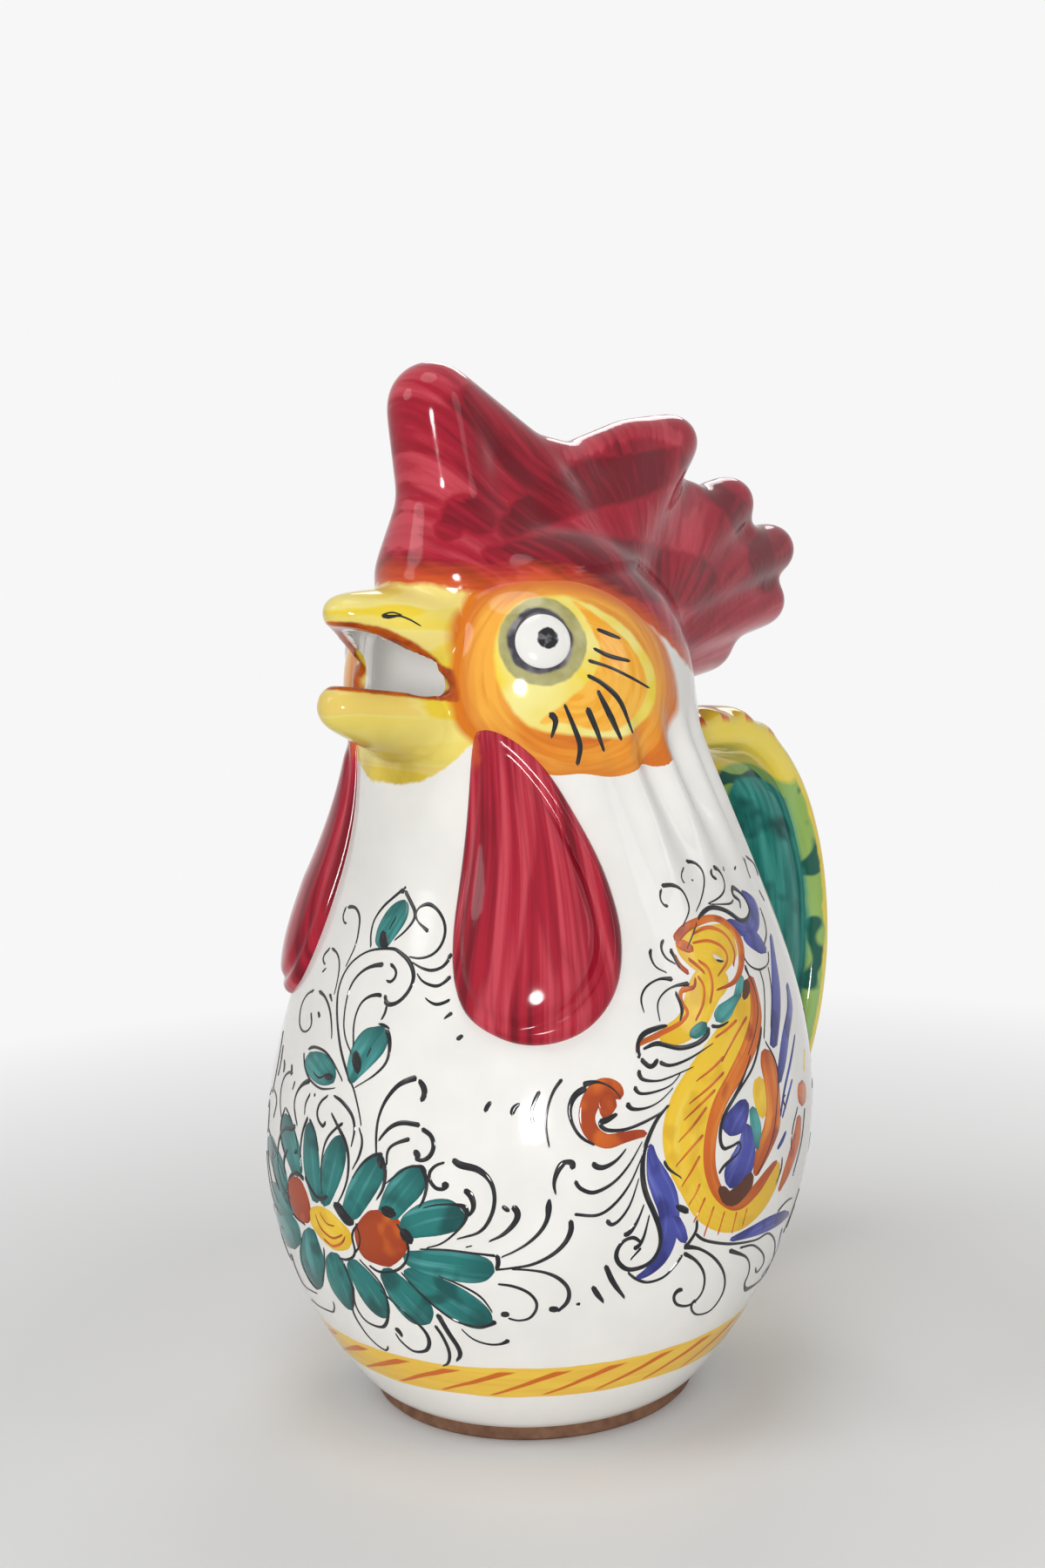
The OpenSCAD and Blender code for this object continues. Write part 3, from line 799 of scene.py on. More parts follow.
# %% [markdown]
# ## Reading a place from the photograph
# The painting is laid out in pixels of the photograph, as a decorator would trace it. The camera is
# known, so each pixel is a line of sight, and where that line meets the skin there is an angle from
# the beak and a height. A stroke that is placed like this lies on the pitcher from every side.

# %% From pixels to the skin
MEETING_GUESS = 520.0
SEARCHES = ((90, 37), (5.5, 12), (1, 9))


def sight_lines(pixels):
    """The directions in which the camera sees pixels of the photograph."""
    pixels = np.asarray(pixels, float)
    u = pixels[:, 0] - PHOTO_SIZE[0] / 2 + CENTRE_SHIFT_PIXELS
    v = pixels[:, 1] - PHOTO_SIZE[1] / 2
    sight = u[:, None] * np.array(view_right) - v[:, None] * np.array(view_up) + FOCAL_PIXELS * np.array(view_forward)
    return sight / np.linalg.norm(sight, axis=1)[:, None]


def on_photo(pixels):
    """The angle from the beak and the height where the line of sight of each pixel meets the skin."""
    sight = sight_lines(pixels)
    row, near = np.arange(len(sight)), np.full(len(sight), MEETING_GUESS)
    for spread, count in SEARCHES:
        reach = near[:, None] + np.linspace(-spread, spread, count)
        place = np.array(view_place) + reach[..., None] * sight[:, None, :]
        out = unwrap(place.reshape(-1, 3))[2].reshape(reach.shape)
        met = (out < 0).any(1)
        k = np.where(met, (out < 0).argmax(1), out.argmin(1))
        before, after = out[row, np.maximum(k - 1, 0)], out[row, k]
        back = np.where(met & (k > 0), after / (after - before + 1e-9), 0)
        near = reach[row, k] - back * (reach[0, 1] - reach[0, 0])
    azimuth, z, _ = unwrap(np.array(view_place) + near[:, None] * sight)
    return np.stack([azimuth, z], 1)


print("eye", on_photo([(622, 735)]), "band", on_photo([(580, 1570), (580, 1606)]))

# %% [markdown]
# ## Glazes painted in layers
# The whole pitcher is covered in glossy white glaze, and the colours are brushed over it. A painted
# finish here starts from white and lays one colour over another. Where each colour lies is a
# distance in millimetres stored on the mesh, negative inside the painted place, so its edge stays
# sharp, and a little noise makes it as uneven as a brush does. The colour itself is streaky: noise
# that is stretched along the brush stroke mixes a thin, pale tone with a dark one.

# %% Colours
WHITE, LIGHTENED_INNER_WHITE = (0.80, 0.785, 0.75), (0.90, 0.885, 0.86)
YELLOW, PALE_YELLOW, OLIVE = (0.80, 0.60, 0.045), (0.82, 0.74, 0.26), (0.40, 0.27, 0.015)
GOLD, DARK_GOLD = (0.80, 0.52, 0.03), (0.74, 0.42, 0.02)
ORANGE, DARK_ORANGE, PALE_ORANGE = (0.80, 0.30, 0.012), (0.56, 0.115, 0.006), (0.88, 0.46, 0.06)
BROWN, WARM_RED = (0.30, 0.045, 0.008), (0.62, 0.11, 0.008)
CRIMSON, DARK_CRIMSON, PINK = (0.36, 0.010, 0.028), (0.15, 0.003, 0.011), (0.55, 0.065, 0.090)
TEAL, DARK_TEAL, PALE_TEAL = (0.012, 0.20, 0.175), (0.004, 0.085, 0.08), (0.06, 0.36, 0.32)
GREEN, PALE_GREEN, DARK_GREEN = (0.27, 0.43, 0.09), (0.30, 0.48, 0.16), (0.012, 0.10, 0.07)
BLACK, CLAY = (0.012, 0.013, 0.016), (0.20, 0.10, 0.055)
WHITE_IOR, HEAD_IOR, WATTLE_IOR = 1.38, 1.28, 1.30


# %% Paint
class Paint:
    """A glossy glaze with colours laid over each other."""

    def __init__(self, name, base=WHITE, roughness=0.09, ior=WHITE_IOR):
        self.material = bpy.data.materials.new(name)
        self.material.use_nodes = True
        self.tree = self.material.node_tree
        self.bsdf = self.tree.nodes["Principled BSDF"]
        self.bsdf.inputs["Roughness"].default_value = roughness
        self.bsdf.inputs["IOR"].default_value = ior
        self.place = self.node("TexCoord").outputs["Object"]
        self.colour = self.tone(base, [0.94 * c for c in base], self.noise(55))

    def node(self, *args, **settings):
        return new_node(self.tree, *args, **settings)

    def value(self, name):
        return self.node("Attribute", attribute_name=name).outputs["Fac"]

    def vector(self, name):
        return self.node("Attribute", attribute_name=name).outputs["Vector"]

    def parts(self, vector):
        return self.node("SeparateXYZ", {0: vector}).outputs

    def math(self, operation, *values):
        return self.node("Math", dict(enumerate(values)), operation=operation).outputs[0]

    def product(self, a, b):
        return self.math("MULTIPLY", a, b)

    def scaled(self, value, factor, plus):
        return self.math("MULTIPLY_ADD", value, factor, plus)

    def stretched(self, vector, scale):
        return self.node("Mapping", {"Vector": vector, "Scale": scale}).outputs[0]

    def noise(self, scale, detail=2.0, vector=None):
        return self.node("TexNoise", {"Vector": vector or self.place, "Scale": scale, "Detail": detail}).outputs["Fac"]

    def ramp(self, value, low, high, start=0.0, end=1.0):
        inputs = {"Value": value, "From Min": low, "From Max": high, "To Min": start, "To Max": end}
        return self.node("MapRange", inputs).outputs[0]

    def mixed(self, a, b, factor):
        a, b = (c if isinstance(c, bpy.types.NodeSocket) else (*c, 1) for c in (a, b))
        return self.node("Mix", {0: factor, 6: a, 7: b}, data_type="RGBA").outputs[2]

    def tone(self, a, b, value, low=0.35, high=0.65):
        return self.mixed(a, b, self.ramp(value, low, high))

    def inside(self, distance, edge, wobble, scale):
        """1 where the distance is below nothing, with an uneven edge of some millimetres."""
        uneven = self.scaled(self.noise(scale), wobble * 2, -wobble)
        return self.ramp(self.math("ADD", distance, uneven), edge, -edge)

    def streaks(self, brush, across, along, detail):
        """Fine noise that is drawn out along the brush."""
        return self.noise(1.0, detail, self.stretched(self.vector(brush), (across, along, across * 0.12)))

    def dabs(self, brush, across, along, wobble=0.9):
        """Strokes of some millimetres side by side: a chance value for each, and how near its edge is."""
        flat = self.stretched(self.vector(brush), (1 / across, 1 / along, 0.12 / across))
        swirl = self.node("TexNoise", {"Vector": flat, "Scale": 0.9, "Detail": 3.0}).outputs["Color"]
        inputs = {0: swirl, 1: (wobble, wobble, wobble), 2: flat}
        bent = self.node("VectorMath", inputs, operation="MULTIPLY_ADD").outputs[0]
        cell = self.node("TexVoronoi", {"Vector": bent, "Scale": 1.0, "Smoothness": 0.35}, feature="SMOOTH_F1")
        edge = self.node("TexVoronoi", {"Vector": bent, "Scale": 1.0}, feature="DISTANCE_TO_EDGE")
        return self.parts(cell.outputs["Color"])["X"], self.ramp(edge.outputs["Distance"], 0.10, 0.0)

    def lay(self, colour, mask):
        self.colour = self.mixed(self.colour, colour, mask)

    def finish(self, waviness=0.2):
        self.tree.links.new(self.colour, self.bsdf.inputs["Base Color"])
        ripple = self.node("Bump", {"Height": self.noise(90), "Strength": waviness, "Distance": 0.0006})
        self.tree.links.new(ripple.outputs[0], self.bsdf.inputs["Normal"])
        print(self.material.name, len(self.tree.nodes), "nodes")
        return self.material


# %% [markdown]
# ## Where the cheek is painted
# On each cheek lies a yellow egg with an orange crescent in its lower part. Both outlines are read
# from the photograph. The distance to an outline, negative inside it, is what gets stored.

# %% Egg and crescent
EGG = on_photo([
    (600, 690), (628, 685), (656, 686), (700, 708), (730, 738), (747, 770), (749, 798), (738, 825), (712, 845),
    (680, 846), (650, 842), (620, 838), (597, 824), (578, 797), (569, 765), (570, 735), (580, 708)])
CRESCENT = on_photo([
    (656, 689), (690, 712), (718, 738), (735, 768), (738, 795), (727, 820), (700, 838), (672, 836), (645, 829),
    (620, 828), (650, 803), (672, 783), (685, 762), (684, 740), (670, 710)])


def outline_distance(places, outline, mm_per_degree):
    """Millimetres from each (angle, height) to a closed outline, negative inside it."""
    scale = np.array([mm_per_degree, 1.0])
    p, a = places * scale, np.asarray(outline, float) * scale
    best, inside_it = np.full(len(p), 1e9), np.zeros(len(p), bool)
    for (ax, ay), (bx, by) in zip(a, np.roll(a, -1, 0)):
        dx, dy = bx - ax, by - ay
        t = np.clip(((p[:, 0] - ax) * dx + (p[:, 1] - ay) * dy) / (dx * dx + dy * dy + 1e-9), 0, 1)
        best = np.minimum(best, np.hypot(p[:, 0] - ax - t * dx, p[:, 1] - ay - t * dy))
        crosses = ((ay > p[:, 1]) != (by > p[:, 1])) & (p[:, 0] < (bx - ax) * (p[:, 1] - ay) / (by - ay + 1e-12) + ax)
        inside_it ^= crosses
    return np.where(inside_it, -best, best)


print("egg", EGG.min(0), EGG.max(0))

# %% [markdown]
# ## Where the head is painted
# The yellow of the beak runs back to a line down the face and down to a line on the throat. The red
# of the comb ends at a line over eye and nape. Each line is a row of points, angle and height.

# %% Lines on the head
FACE_EDGE = ((150, 26), (186, 30), (200, 34), (206, 34), (214, 33), (222, 33), (230, 33), (240, 33))
SEAM_EDGE = ((0, 239), (14, 238.5), (24, 236.5), (36, 235.5), (54, 237.5), (74, 234.5), (88, 229.5), (96, 225),
             (103, 220.5), (113, 214.5), (130, 208), (150, 204), (180, 202))
THROAT_LINE = on_photo([
    (397, 845), (405, 860), (412, 880), (423, 888), (432, 884), (440, 895), (460, 900), (480, 897), (500, 890),
    (524, 872), (545, 850)])
THROAT_EDGE = [(-40, 196), (-26, 189), (-14, 184)] + [(float(a), float(z)) for a, z in THROAT_LINE if a > -6]
print("throat", [round(z) for _, z in THROAT_EDGE])

# %% [markdown]
# ## Darker and paler red on the comb
# The red was put on in broad strokes, and it is darker in some broad patches and paler in others.
# The largest patches are laid where the photograph shows them, as strokes of (x, y, width) in pixels.
# The finer marks are noise.

# %% Washes
DARKER_RED_PATCHES = [
    [(548, 455, 34), (575, 490, 48), (605, 530, 54), (628, 562, 46)], [(588, 603, 30), (630, 576, 50), (680, 556, 56),
    (735, 545, 50), (775, 530, 34)], [(566, 640, 24), (640, 640, 56), (720, 652, 64), (795, 668, 60)], [(512, 612, 22),
    (530, 588, 38), (552, 598, 34)], [(468, 640, 12), (495, 650, 16), (530, 656, 18), (562, 668, 16)], [(818, 560, 24),
    (850, 590, 30), (872, 630, 28), (880, 670, 20)]]
PALER_RED_PATCHES = [
    [(460, 532, 28), (498, 540, 42), (526, 556, 36)], [(462, 586, 26), (470, 618, 22)], [(652, 522, 12),
    (700, 502, 22), (745, 490, 26), (776, 502, 18)], [(560, 700, 16), (600, 668, 20), (660, 660, 10)]]


def photo_pixels(points):
    """Where the camera sees points of the left side, and the mirror images of points of the right side."""
    away = np.stack([np.abs(points[:, 0]), points[:, 1], points[:, 2]], 1) - np.array(view_place)
    right, up, depth = (away @ np.array(axis) for axis in (view_right, view_up, view_forward))
    x = PHOTO_SIZE[0] / 2 - CENTRE_SHIFT_PIXELS + FOCAL_PIXELS * right / depth
    return np.stack([x, PHOTO_SIZE[1] / 2 - FOCAL_PIXELS * up / depth], 1)


def stroke_distance(pixels, strokes):
    """Millimetres from each pixel to the edge of the nearest stroke, negative inside it."""
    best = np.full(len(pixels), 1e3)
    for stroke in strokes:
        for x, y, width in open_line(stroke, 24):
            best = np.minimum(best, np.hypot(pixels[:, 0] - x, pixels[:, 1] - y) - width / 2)
    return np.clip(best / PIXELS_PER_MM, -8, 8)


# %% [markdown]
# ## Yellow and orange glaze
# The yellow goes over the beak, the throat and a little of the body, and the orange over the cheek
# and a little of the head. Each is one function, called for all its pieces, so no step shows there.


# %% Lay the yellow and the orange
def lay_yellow(paint):
    """Lemon and gold in patches, and under the chin olive paint with painted shade of the lower beak."""
    chance = paint.dabs("beak_brush", 6, 24)[0]
    tone = paint.mixed(YELLOW, PALE_YELLOW, paint.ramp(chance, 0.2, 0.8))
    tone = paint.mixed(tone, (0.80, 0.42, 0.02), paint.ramp(chance, 0.70, 0.95, 0, 0.45))
    tone = paint.mixed(tone, OLIVE, paint.ramp(paint.noise(16), 0.50, 0.72, 0, 0.55))
    olive_and_shade = paint.ramp(paint.noise(70, 3), 0.30, 0.60, 0.15, 0.85)
    # Under the chin the olive is partly olive paint and partly painted shade, where the lower beak shades the throat.
    tone = paint.mixed(tone, OLIVE, paint.product(paint.value("throat"), olive_and_shade))
    paint.lay(tone, paint.inside(paint.value("beak"), 0.4, 1.0, 300))


def orange_tone(paint, brush):
    """Thin and yellowish in the middle of the cheek, redder and thicker at its rim, with its streaks."""
    streak = paint.streaks(brush, 0.45, 0.04, 3)
    chance, lap_edge = paint.dabs(brush, 7, 30)
    wash = paint.math("ADD", paint.product(chance, 0.5), paint.product(streak, 0.6))
    tone = paint.mixed((0.72, 0.235, 0.012), PALE_ORANGE, paint.ramp(wash, 0.56, 0.36, 0, 0.65))
    tone = paint.mixed(tone, DARK_ORANGE, paint.ramp(wash, 0.54, 0.80, 0, 0.85))
    tone = paint.mixed(tone, DARK_ORANGE, paint.product(lap_edge, 0.25))
    rim = paint.scaled(streak, 9.0, paint.value("rim"))
    return paint.mixed(tone, (0.60, 0.15, 0.008), paint.ramp(rim, -1.5, 3.5, 0, 0.75)), streak


def brush_round_the_eye(azimuth, z):
    """Brush strokes that run round the middle of the cheek, with no seam where the turn is whole."""
    across, up = (np.abs(azimuth) - CHEEK_MIDDLE[0]) * 0.85, z - 213
    turn = np.arctan2(up, across)
    return np.stack([np.hypot(across, up), 20 * np.cos(turn), 20 * np.sin(turn)], 1)


# %% [markdown]
# ## Marking the head
# Each piece of the head now gets its distances from the yellow, the red, the orange, the lip and the
# inside, and its brush directions: a fan over the comb, a slant over its front, rings round the eye.


# %% Mark head and body
def line_at(points, x):
    x_values, y_values = zip(*points)
    return np.interp(x, x_values, y_values)


def mark_yellow(obj):
    points = points_of(obj)
    azimuth, z, _ = unwrap(points)
    side = np.abs(azimuth)
    to_face = (side - line_at(FACE_EDGE, z)) * 0.85
    store(obj, "beak", np.maximum(to_face, line_at(THROAT_EDGE, azimuth) - z))
    store(obj, "beak_brush", np.stack([z, -points[:, 1], azimuth * 0.5], 1))
    # Where the olive paint and the painted shade of the lower beak lie under the chin.
    store(obj, "throat", share_of(z, 206, 190) * share_of(side, 30, 6))


def mark_head(obj):
    mark_yellow(obj)
    points = points_of(obj)
    azimuth, z, out = unwrap(points)
    side = np.abs(azimuth)
    depth = np.array([outer_tree.find_nearest(Vector(p * MM))[3] / MM for p in points])
    from_mouth = outline_distance(points[:, 1:], mouth_wedge, 1.0)
    rim = outline_distance(np.stack([side, z], 1), rounded(cheek_outline, 80), 0.82)
    store(obj, "red", line_at(SEAM_EDGE, side) - z)
    store(obj, "face", rim - 0.4 - 2.4 * share_of(side, 44, 32))
    store(obj, "lip", np.maximum.reduce([from_mouth - 1.3, depth - 2.6, points[:, 1] + MOUTH_Y + 0.2]))
    store(obj, "inner", np.maximum(2.4 - depth, -5))
    x, y, up = points.T
    fan_r, fan_a = np.hypot(y - 12, up - 205), np.degrees(np.arctan2(up - 205, y - 12))
    store(obj, "brush", np.stack([fan_a * 1.1, fan_r, x], 1))
    store(obj, "front_brush", np.stack([0.66 * y + 0.75 * up, 0.75 * y - 0.66 * up, x], 1))
    store(obj, "front", share_of(-y + 0.25 * (up - 250), -22, 8))
    store(obj, "cheek_brush", brush_round_the_eye(azimuth, z))
    store(obj, "side_brush", np.stack([z, azimuth * 0.85, out], 1))
    seen = photo_pixels(points)
    store(obj, "darker_red_patch", stroke_distance(seen, DARKER_RED_PATCHES))
    store(obj, "paler_red_patch", stroke_distance(seen, PALER_RED_PATCHES))
    store(obj, "rim", rim)


for obj in (head, comb, upper_beak, lower_beak):
    mark_head(obj)
mark_yellow(body)
print("marked", head.data.attributes.keys())

# %% [markdown]
# ## The head's finish
# All four pieces of the head share one finish, so a colour ends at its painted line and not at the
# cut. The order is the painter's: white, yellow, orange, the brown line of the lips, then the red.

# %% Head finish: yellow, orange and lips
paint = Paint("painted_head", ior=HEAD_IOR)
lay_yellow(paint)
paint.lay(orange_tone(paint, "cheek_brush")[0], paint.inside(paint.value("face"), 1.2, 0.9, 110))
lip_tone = paint.tone(BROWN, DARK_ORANGE, paint.noise(180))
paint.lay(lip_tone, paint.inside(paint.value("lip"), 0.3, 0.4, 300))


# %% Head finish: red
def red_tone(paint, wash, pale, dark, lap_edge, lap):
    """Crimson, pink where the wash value is low, and darker where it is high or where strokes lap over."""
    tone = paint.mixed(CRIMSON, PINK, paint.ramp(wash, *pale))
    tone = paint.mixed(tone, DARK_CRIMSON, paint.ramp(wash, *dark))
    return paint.mixed(tone, DARK_CRIMSON, paint.product(lap_edge, lap))


fan_dabs, front_dabs = paint.dabs("brush", 10, 34), paint.dabs("front_brush", 11, 30)
fan_streak, front_streak = (paint.streaks(brush, 0.40, 0.018, 5) for brush in ("brush", "front_brush"))
streak, chance, lap_edge = (
    paint.node("Mix", {0: paint.value("front"), 2: fan, 3: front}).outputs[0]
    for fan, front in ((fan_streak, front_streak), (fan_dabs[0], front_dabs[0]), (fan_dabs[1], front_dabs[1])))
wash = paint.scaled(chance, 0.35, streak)
# The traced patches make the red darker and paler in broad areas.
for name, weight in (("darker_red_patch", 0.27), ("paler_red_patch", -0.22)):
    wash = paint.scaled(paint.ramp(paint.scaled(streak, 7.0, paint.value(name)), 4.3, 2.9), weight, wash)
red = red_tone(paint, wash, (0.68, 0.40, 0, 0.85), (0.72, 1.00, 0, 0.95), lap_edge, 0.18)
thin_edge = paint.scaled(paint.streaks("side_brush", 0.8, 0.07, 4), 8.0, paint.value("red"))
red = paint.mixed(red, WARM_RED, paint.ramp(thin_edge, -4.0, 5.0, 0, 0.9))
paint.lay(red, paint.inside(paint.value("red"), 0.8, 1.2, 250))
# Inside the hollow the white glaze is laid lighter than outside, as painted light in the shaded hollow.
paint.lay(LIGHTENED_INNER_WHITE, paint.inside(paint.value("inner"), 0.2, 0.2, 300))
head_finish = paint.finish()

# %% [markdown]
# ## The wattles' finish
# The wattles are painted in long strokes from top to tip, with a spot of orange at the top, and the
# middle of each drop is made paler, as painted light on its bulge. The strokes lean outwards with the
# piece, so the brush direction is bent first.

# %% Wattle finish
for obj in (left_wattle, right_wattle):
    azimuth, z, _ = unwrap(points_of(obj))
    side = np.abs(azimuth)
    lean = (side - WATTLE_MID) * (1 + 0.35 * share_of(z, 130, 190))
    store(obj, "brush", np.stack([lean * 1.1, z, np.full(len(z), 3.0)], 1))
    # A share that is 1 at the middle of the drop and 0 towards its rim, where the painted light goes.
    store(obj, "middle", np.clip(1 - np.hypot((side - 42) / 11, (z - 140) / 24), 0, 1))
    store(obj, "orange", np.hypot((side - 29) * 0.9, (z - 195) * 0.5) - 1.8)
paint = Paint("painted_wattle", CRIMSON, ior=WATTLE_IOR)
chance, lap_edge = paint.dabs("brush", 6, 55, 0.35)
# The middle of each drop is made a little paler, as painted light on its bulge.
wash = paint.scaled(paint.value("middle"), -0.10, paint.scaled(chance, 0.35, paint.streaks("brush", 0.42, 0.010, 5)))
paint.colour = red_tone(paint, wash, (0.64, 0.46, 0, 0.8), (0.68, 0.86, 0, 0.9), lap_edge, 0.3)
paint.lay((0.60, 0.12, 0.02), paint.inside(paint.value("orange"), 1.5, 1.5, 200))
wattle_finish = paint.finish()

# %% [markdown]
# ## The cheeks' finish
# Orange is brushed round the eye, with the yellow egg and its crescent over it, then a grey-green
# ring and a darker one. Each ring is a distance from the eye's middle, less a radius.

# %% Mark the cheeks
for obj in (left_cheek, right_cheek):
    azimuth, z, _ = unwrap(points_of(obj))
    place = np.stack([np.abs(azimuth), z], 1)
    across, up = (place[:, 0] - EYE_AZIMUTH) * MM_PER_DEGREE, z - EYE_Z
    store(obj, "egg", outline_distance(place, rounded(EGG, 120), 0.85))
    store(obj, "crescent", outline_distance(place, rounded(CRESCENT, 120), 0.85))
    store(obj, "ring", np.hypot(across, up) - 11.6)
    store(obj, "dark_ring", np.hypot(across + 0.7, up - 0.2) - 8.7)
    store(obj, "rim", outline_distance(place, rounded(cheek_outline, 80), 0.82))
    store(obj, "brush", brush_round_the_eye(azimuth, z))
    store(obj, "red", line_at(SEAM_EDGE, place[:, 0]) - z)
print("marked", left_cheek.data.attributes.keys())

# %% Cheek finish
paint = Paint("painted_cheek", ORANGE)
paint.colour, streak = orange_tone(paint, "brush")
egg_tone = paint.tone(YELLOW, PALE_YELLOW, paint.noise(70))
paint.lay(egg_tone, paint.inside(paint.value("egg"), 0.5, 0.5, 250))
crescent_tone = paint.mixed((0.82, 0.36, 0.02), PALE_ORANGE, paint.ramp(streak, 0.42, 0.60))
paint.lay(crescent_tone, paint.inside(paint.value("crescent"), 0.4, 0.6, 300))
ring_tone = paint.tone((0.27, 0.26, 0.10), (0.42, 0.40, 0.20), paint.noise(160))
paint.lay(ring_tone, paint.product(paint.inside(paint.value("ring"), 0.3, 0.7, 200), 0.92))
dark_tone = paint.tone((0.045, 0.040, 0.055), (0.24, 0.22, 0.23), paint.noise(120), 0.45, 0.60)
paint.lay(dark_tone, paint.inside(paint.value("dark_ring"), 0.35, 0.8, 220))
paint.lay(WARM_RED, paint.ramp(paint.scaled(streak, 6.0, paint.value("red")), 4.5, 0.5, 0, 0.8))
cheek_finish = paint.finish()

# %% [markdown]
# ## The eyes' finish
# The button is white, with a mottled black pupil that looks a little forwards and up, and a dark rim.

# %% Eye finish
for obj in (left_eye, right_eye):
    azimuth, z, _ = unwrap(points_of(obj))
    side = np.abs(azimuth)
    store(obj, "pupil", np.hypot((side - 54.3) * MM_PER_DEGREE, z - 223.4) - 2.7)
    store(obj, "rim", np.hypot((side - EYE_AZIMUTH) * MM_PER_DEGREE, z - EYE_Z) - EYE_R - 0.15)
paint = Paint("painted_eye")
pupil_tone = paint.tone(BLACK, (0.14, 0.14, 0.15), paint.noise(500), 0.5, 0.65)
paint.lay(pupil_tone, paint.inside(paint.value("pupil"), 0.2, 0.5, 500))
paint.lay((0.06, 0.055, 0.07), paint.ramp(paint.value("rim"), -0.5, -0.25))
eye_finish = paint.finish()

# %% [markdown]
# ## The handle's finish
# The strap is yellow outside, with slanted orange strokes, spotted green along its inner edges, and
# teal in the hollow. The colours follow the strap, so they read values stored on its rings.

# %% Handle finish: yellow and orange
way = along.repeat(len(theta)) * handle_length
out_or_in, across = np.tile(flat_n, len(path)), np.tile(flat_x, len(path))
store(handle, "around", out_or_in)
store(handle, "width", np.abs(across))
store(handle, "along", way)
store(handle, "brush", np.stack([across * 16, way, out_or_in * 6], 1))
STROKE_EVERY = 11.0
paint = Paint("painted_handle", YELLOW)
streak = paint.streaks("brush", 0.35, 0.03, 4)
paint.colour = paint.tone(YELLOW, (0.82, 0.66, 0.12), streak)
slant = paint.parts(paint.vector("brush"))
phase = paint.math("DIVIDE", paint.scaled(slant["X"], 0.55, slant["Y"]), STROKE_EVERY)
wave = paint.math("ABSOLUTE", paint.math("SUBTRACT", paint.math("FRACT", phase), 0.5))
stroke = paint.ramp(paint.math("SUBTRACT", wave, paint.scaled(paint.noise(120), 0.10, 0.10)), 0.02, -0.02)
paint.lay((0.66, 0.13, 0.008), paint.product(stroke, paint.ramp(paint.value("around"), 0.35, 0.6)))

# %% Handle finish: green and teal
arch = paint.scaled(paint.math("POWER", paint.value("width"), 2.0), -11.0, paint.value("along"))
arch = paint.scaled(paint.noise(90), 6.0, arch)
past_top, past_arch = paint.ramp(arch, 72, 75), paint.ramp(arch, 82, 84)
inner_side = paint.ramp(paint.scaled(paint.noise(140), 0.5, paint.value("around")), 0.35, 0.15)
spots = paint.ramp(paint.noise(85, 0.5), 0.57, 0.62)
green_tone = paint.mixed(paint.tone(GREEN, PALE_GREEN, streak), DARK_GREEN, spots)
paint.lay(green_tone, paint.product(past_top, inner_side))
trough = paint.ramp(paint.scaled(paint.noise(120), 0.16, paint.value("width")), 0.92, 0.80)
low_side = paint.ramp(paint.value("around"), -0.2, -0.45)
teal_tone = paint.mixed(TEAL, PALE_TEAL, paint.ramp(streak, 0.40, 0.62))
teal_tone = paint.mixed(teal_tone, DARK_TEAL, paint.ramp(paint.noise(60), 0.52, 0.66))
paint.lay(teal_tone, paint.product(paint.product(trough, low_side), past_arch))
handle_finish = paint.finish()

# %% [markdown]
# ## The body's finish
# Above the foot runs a gold band with slanted orange strokes, painted while the pitcher turned on a
# wheel. It is the same all the way round, so it is worked out from height and turn alone.

# %% Body finish
BAND_LOW, BAND_HIGH, BAND_STROKES = 18.8, 29.6, 27
paint = Paint("painted_body")
spot = paint.parts(paint.place)
turn = paint.math("ARCTAN2", spot["X"], paint.product(spot["Y"], -1.0))
height = paint.scaled(spot["Z"], 1 / MM, paint.scaled(paint.noise(60), 1.6, -0.8))


def between(low, high, fade):
    return paint.product(paint.ramp(height, low, low + fade), paint.ramp(height, high, high - fade))


band_tone = paint.tone(GOLD, DARK_GOLD, paint.noise(40, 4, paint.stretched(paint.place, (1, 1, 12))))
paint.lay(band_tone, paint.product(between(BAND_LOW - 0.2, BAND_HIGH + 0.2, 0.4), 0.96))
laps = paint.product(turn, BAND_STROKES / (2 * math.pi))
rise = paint.product(paint.math("SUBTRACT", height, BAND_LOW), -1.7 / (BAND_HIGH - BAND_LOW))
lap = paint.math("ABSOLUTE", paint.math("SUBTRACT", paint.math("FRACT", paint.math("ADD", laps, rise)), 0.5))
taper = paint.ramp(height, BAND_LOW + 0.6, BAND_HIGH - 2, 0.05, 0.16)
slash = paint.ramp(paint.math("SUBTRACT", lap, taper), 0.02, -0.02)
paint.lay((0.56, 0.12, 0.006), paint.product(slash, between(BAND_LOW + 0.4, BAND_HIGH - 1.2, 0.6)))
lay_yellow(paint)
body_finish = paint.finish()

# %% [markdown]
# ## Bare clay and the floor
# The foot ring is bare, rough earthenware, red-brown and speckled. The floor is plain and matt near
# the pitcher, where it catches the shadow, and fades into the pale background further out.

# %% Clay and floor finish
paint = Paint("bare_clay", CLAY, 0.75)
paint.colour = paint.tone(CLAY, (0.13, 0.06, 0.035), paint.noise(300, 6))
clay_finish = paint.finish(0.6)

FLOOR_GREY, FADE_FROM, FADE_TO = (0.80, 0.80, 0.80), 0.16, 0.52
paint = Paint("floor", FLOOR_GREY, 0.55)
paint.colour = paint.mixed(FLOOR_GREY, FLOOR_GREY, 0.5)
floor.data.materials.append(paint.finish(0.0))
far = paint.node("VectorMath", {0: paint.place}, operation="LENGTH").outputs["Value"]
glow = paint.node("Emission", {"Color": PALE, "Strength": 1.0}).outputs[0]
fade = paint.node("MixShader", {0: paint.ramp(far, FADE_FROM, FADE_TO), 1: paint.bsdf.outputs[0], 2: glow})
white_for_camera(paint.tree, paint.tree.nodes["Material Output"], paint.bsdf, fade)
print("finishes", len(bpy.data.materials))

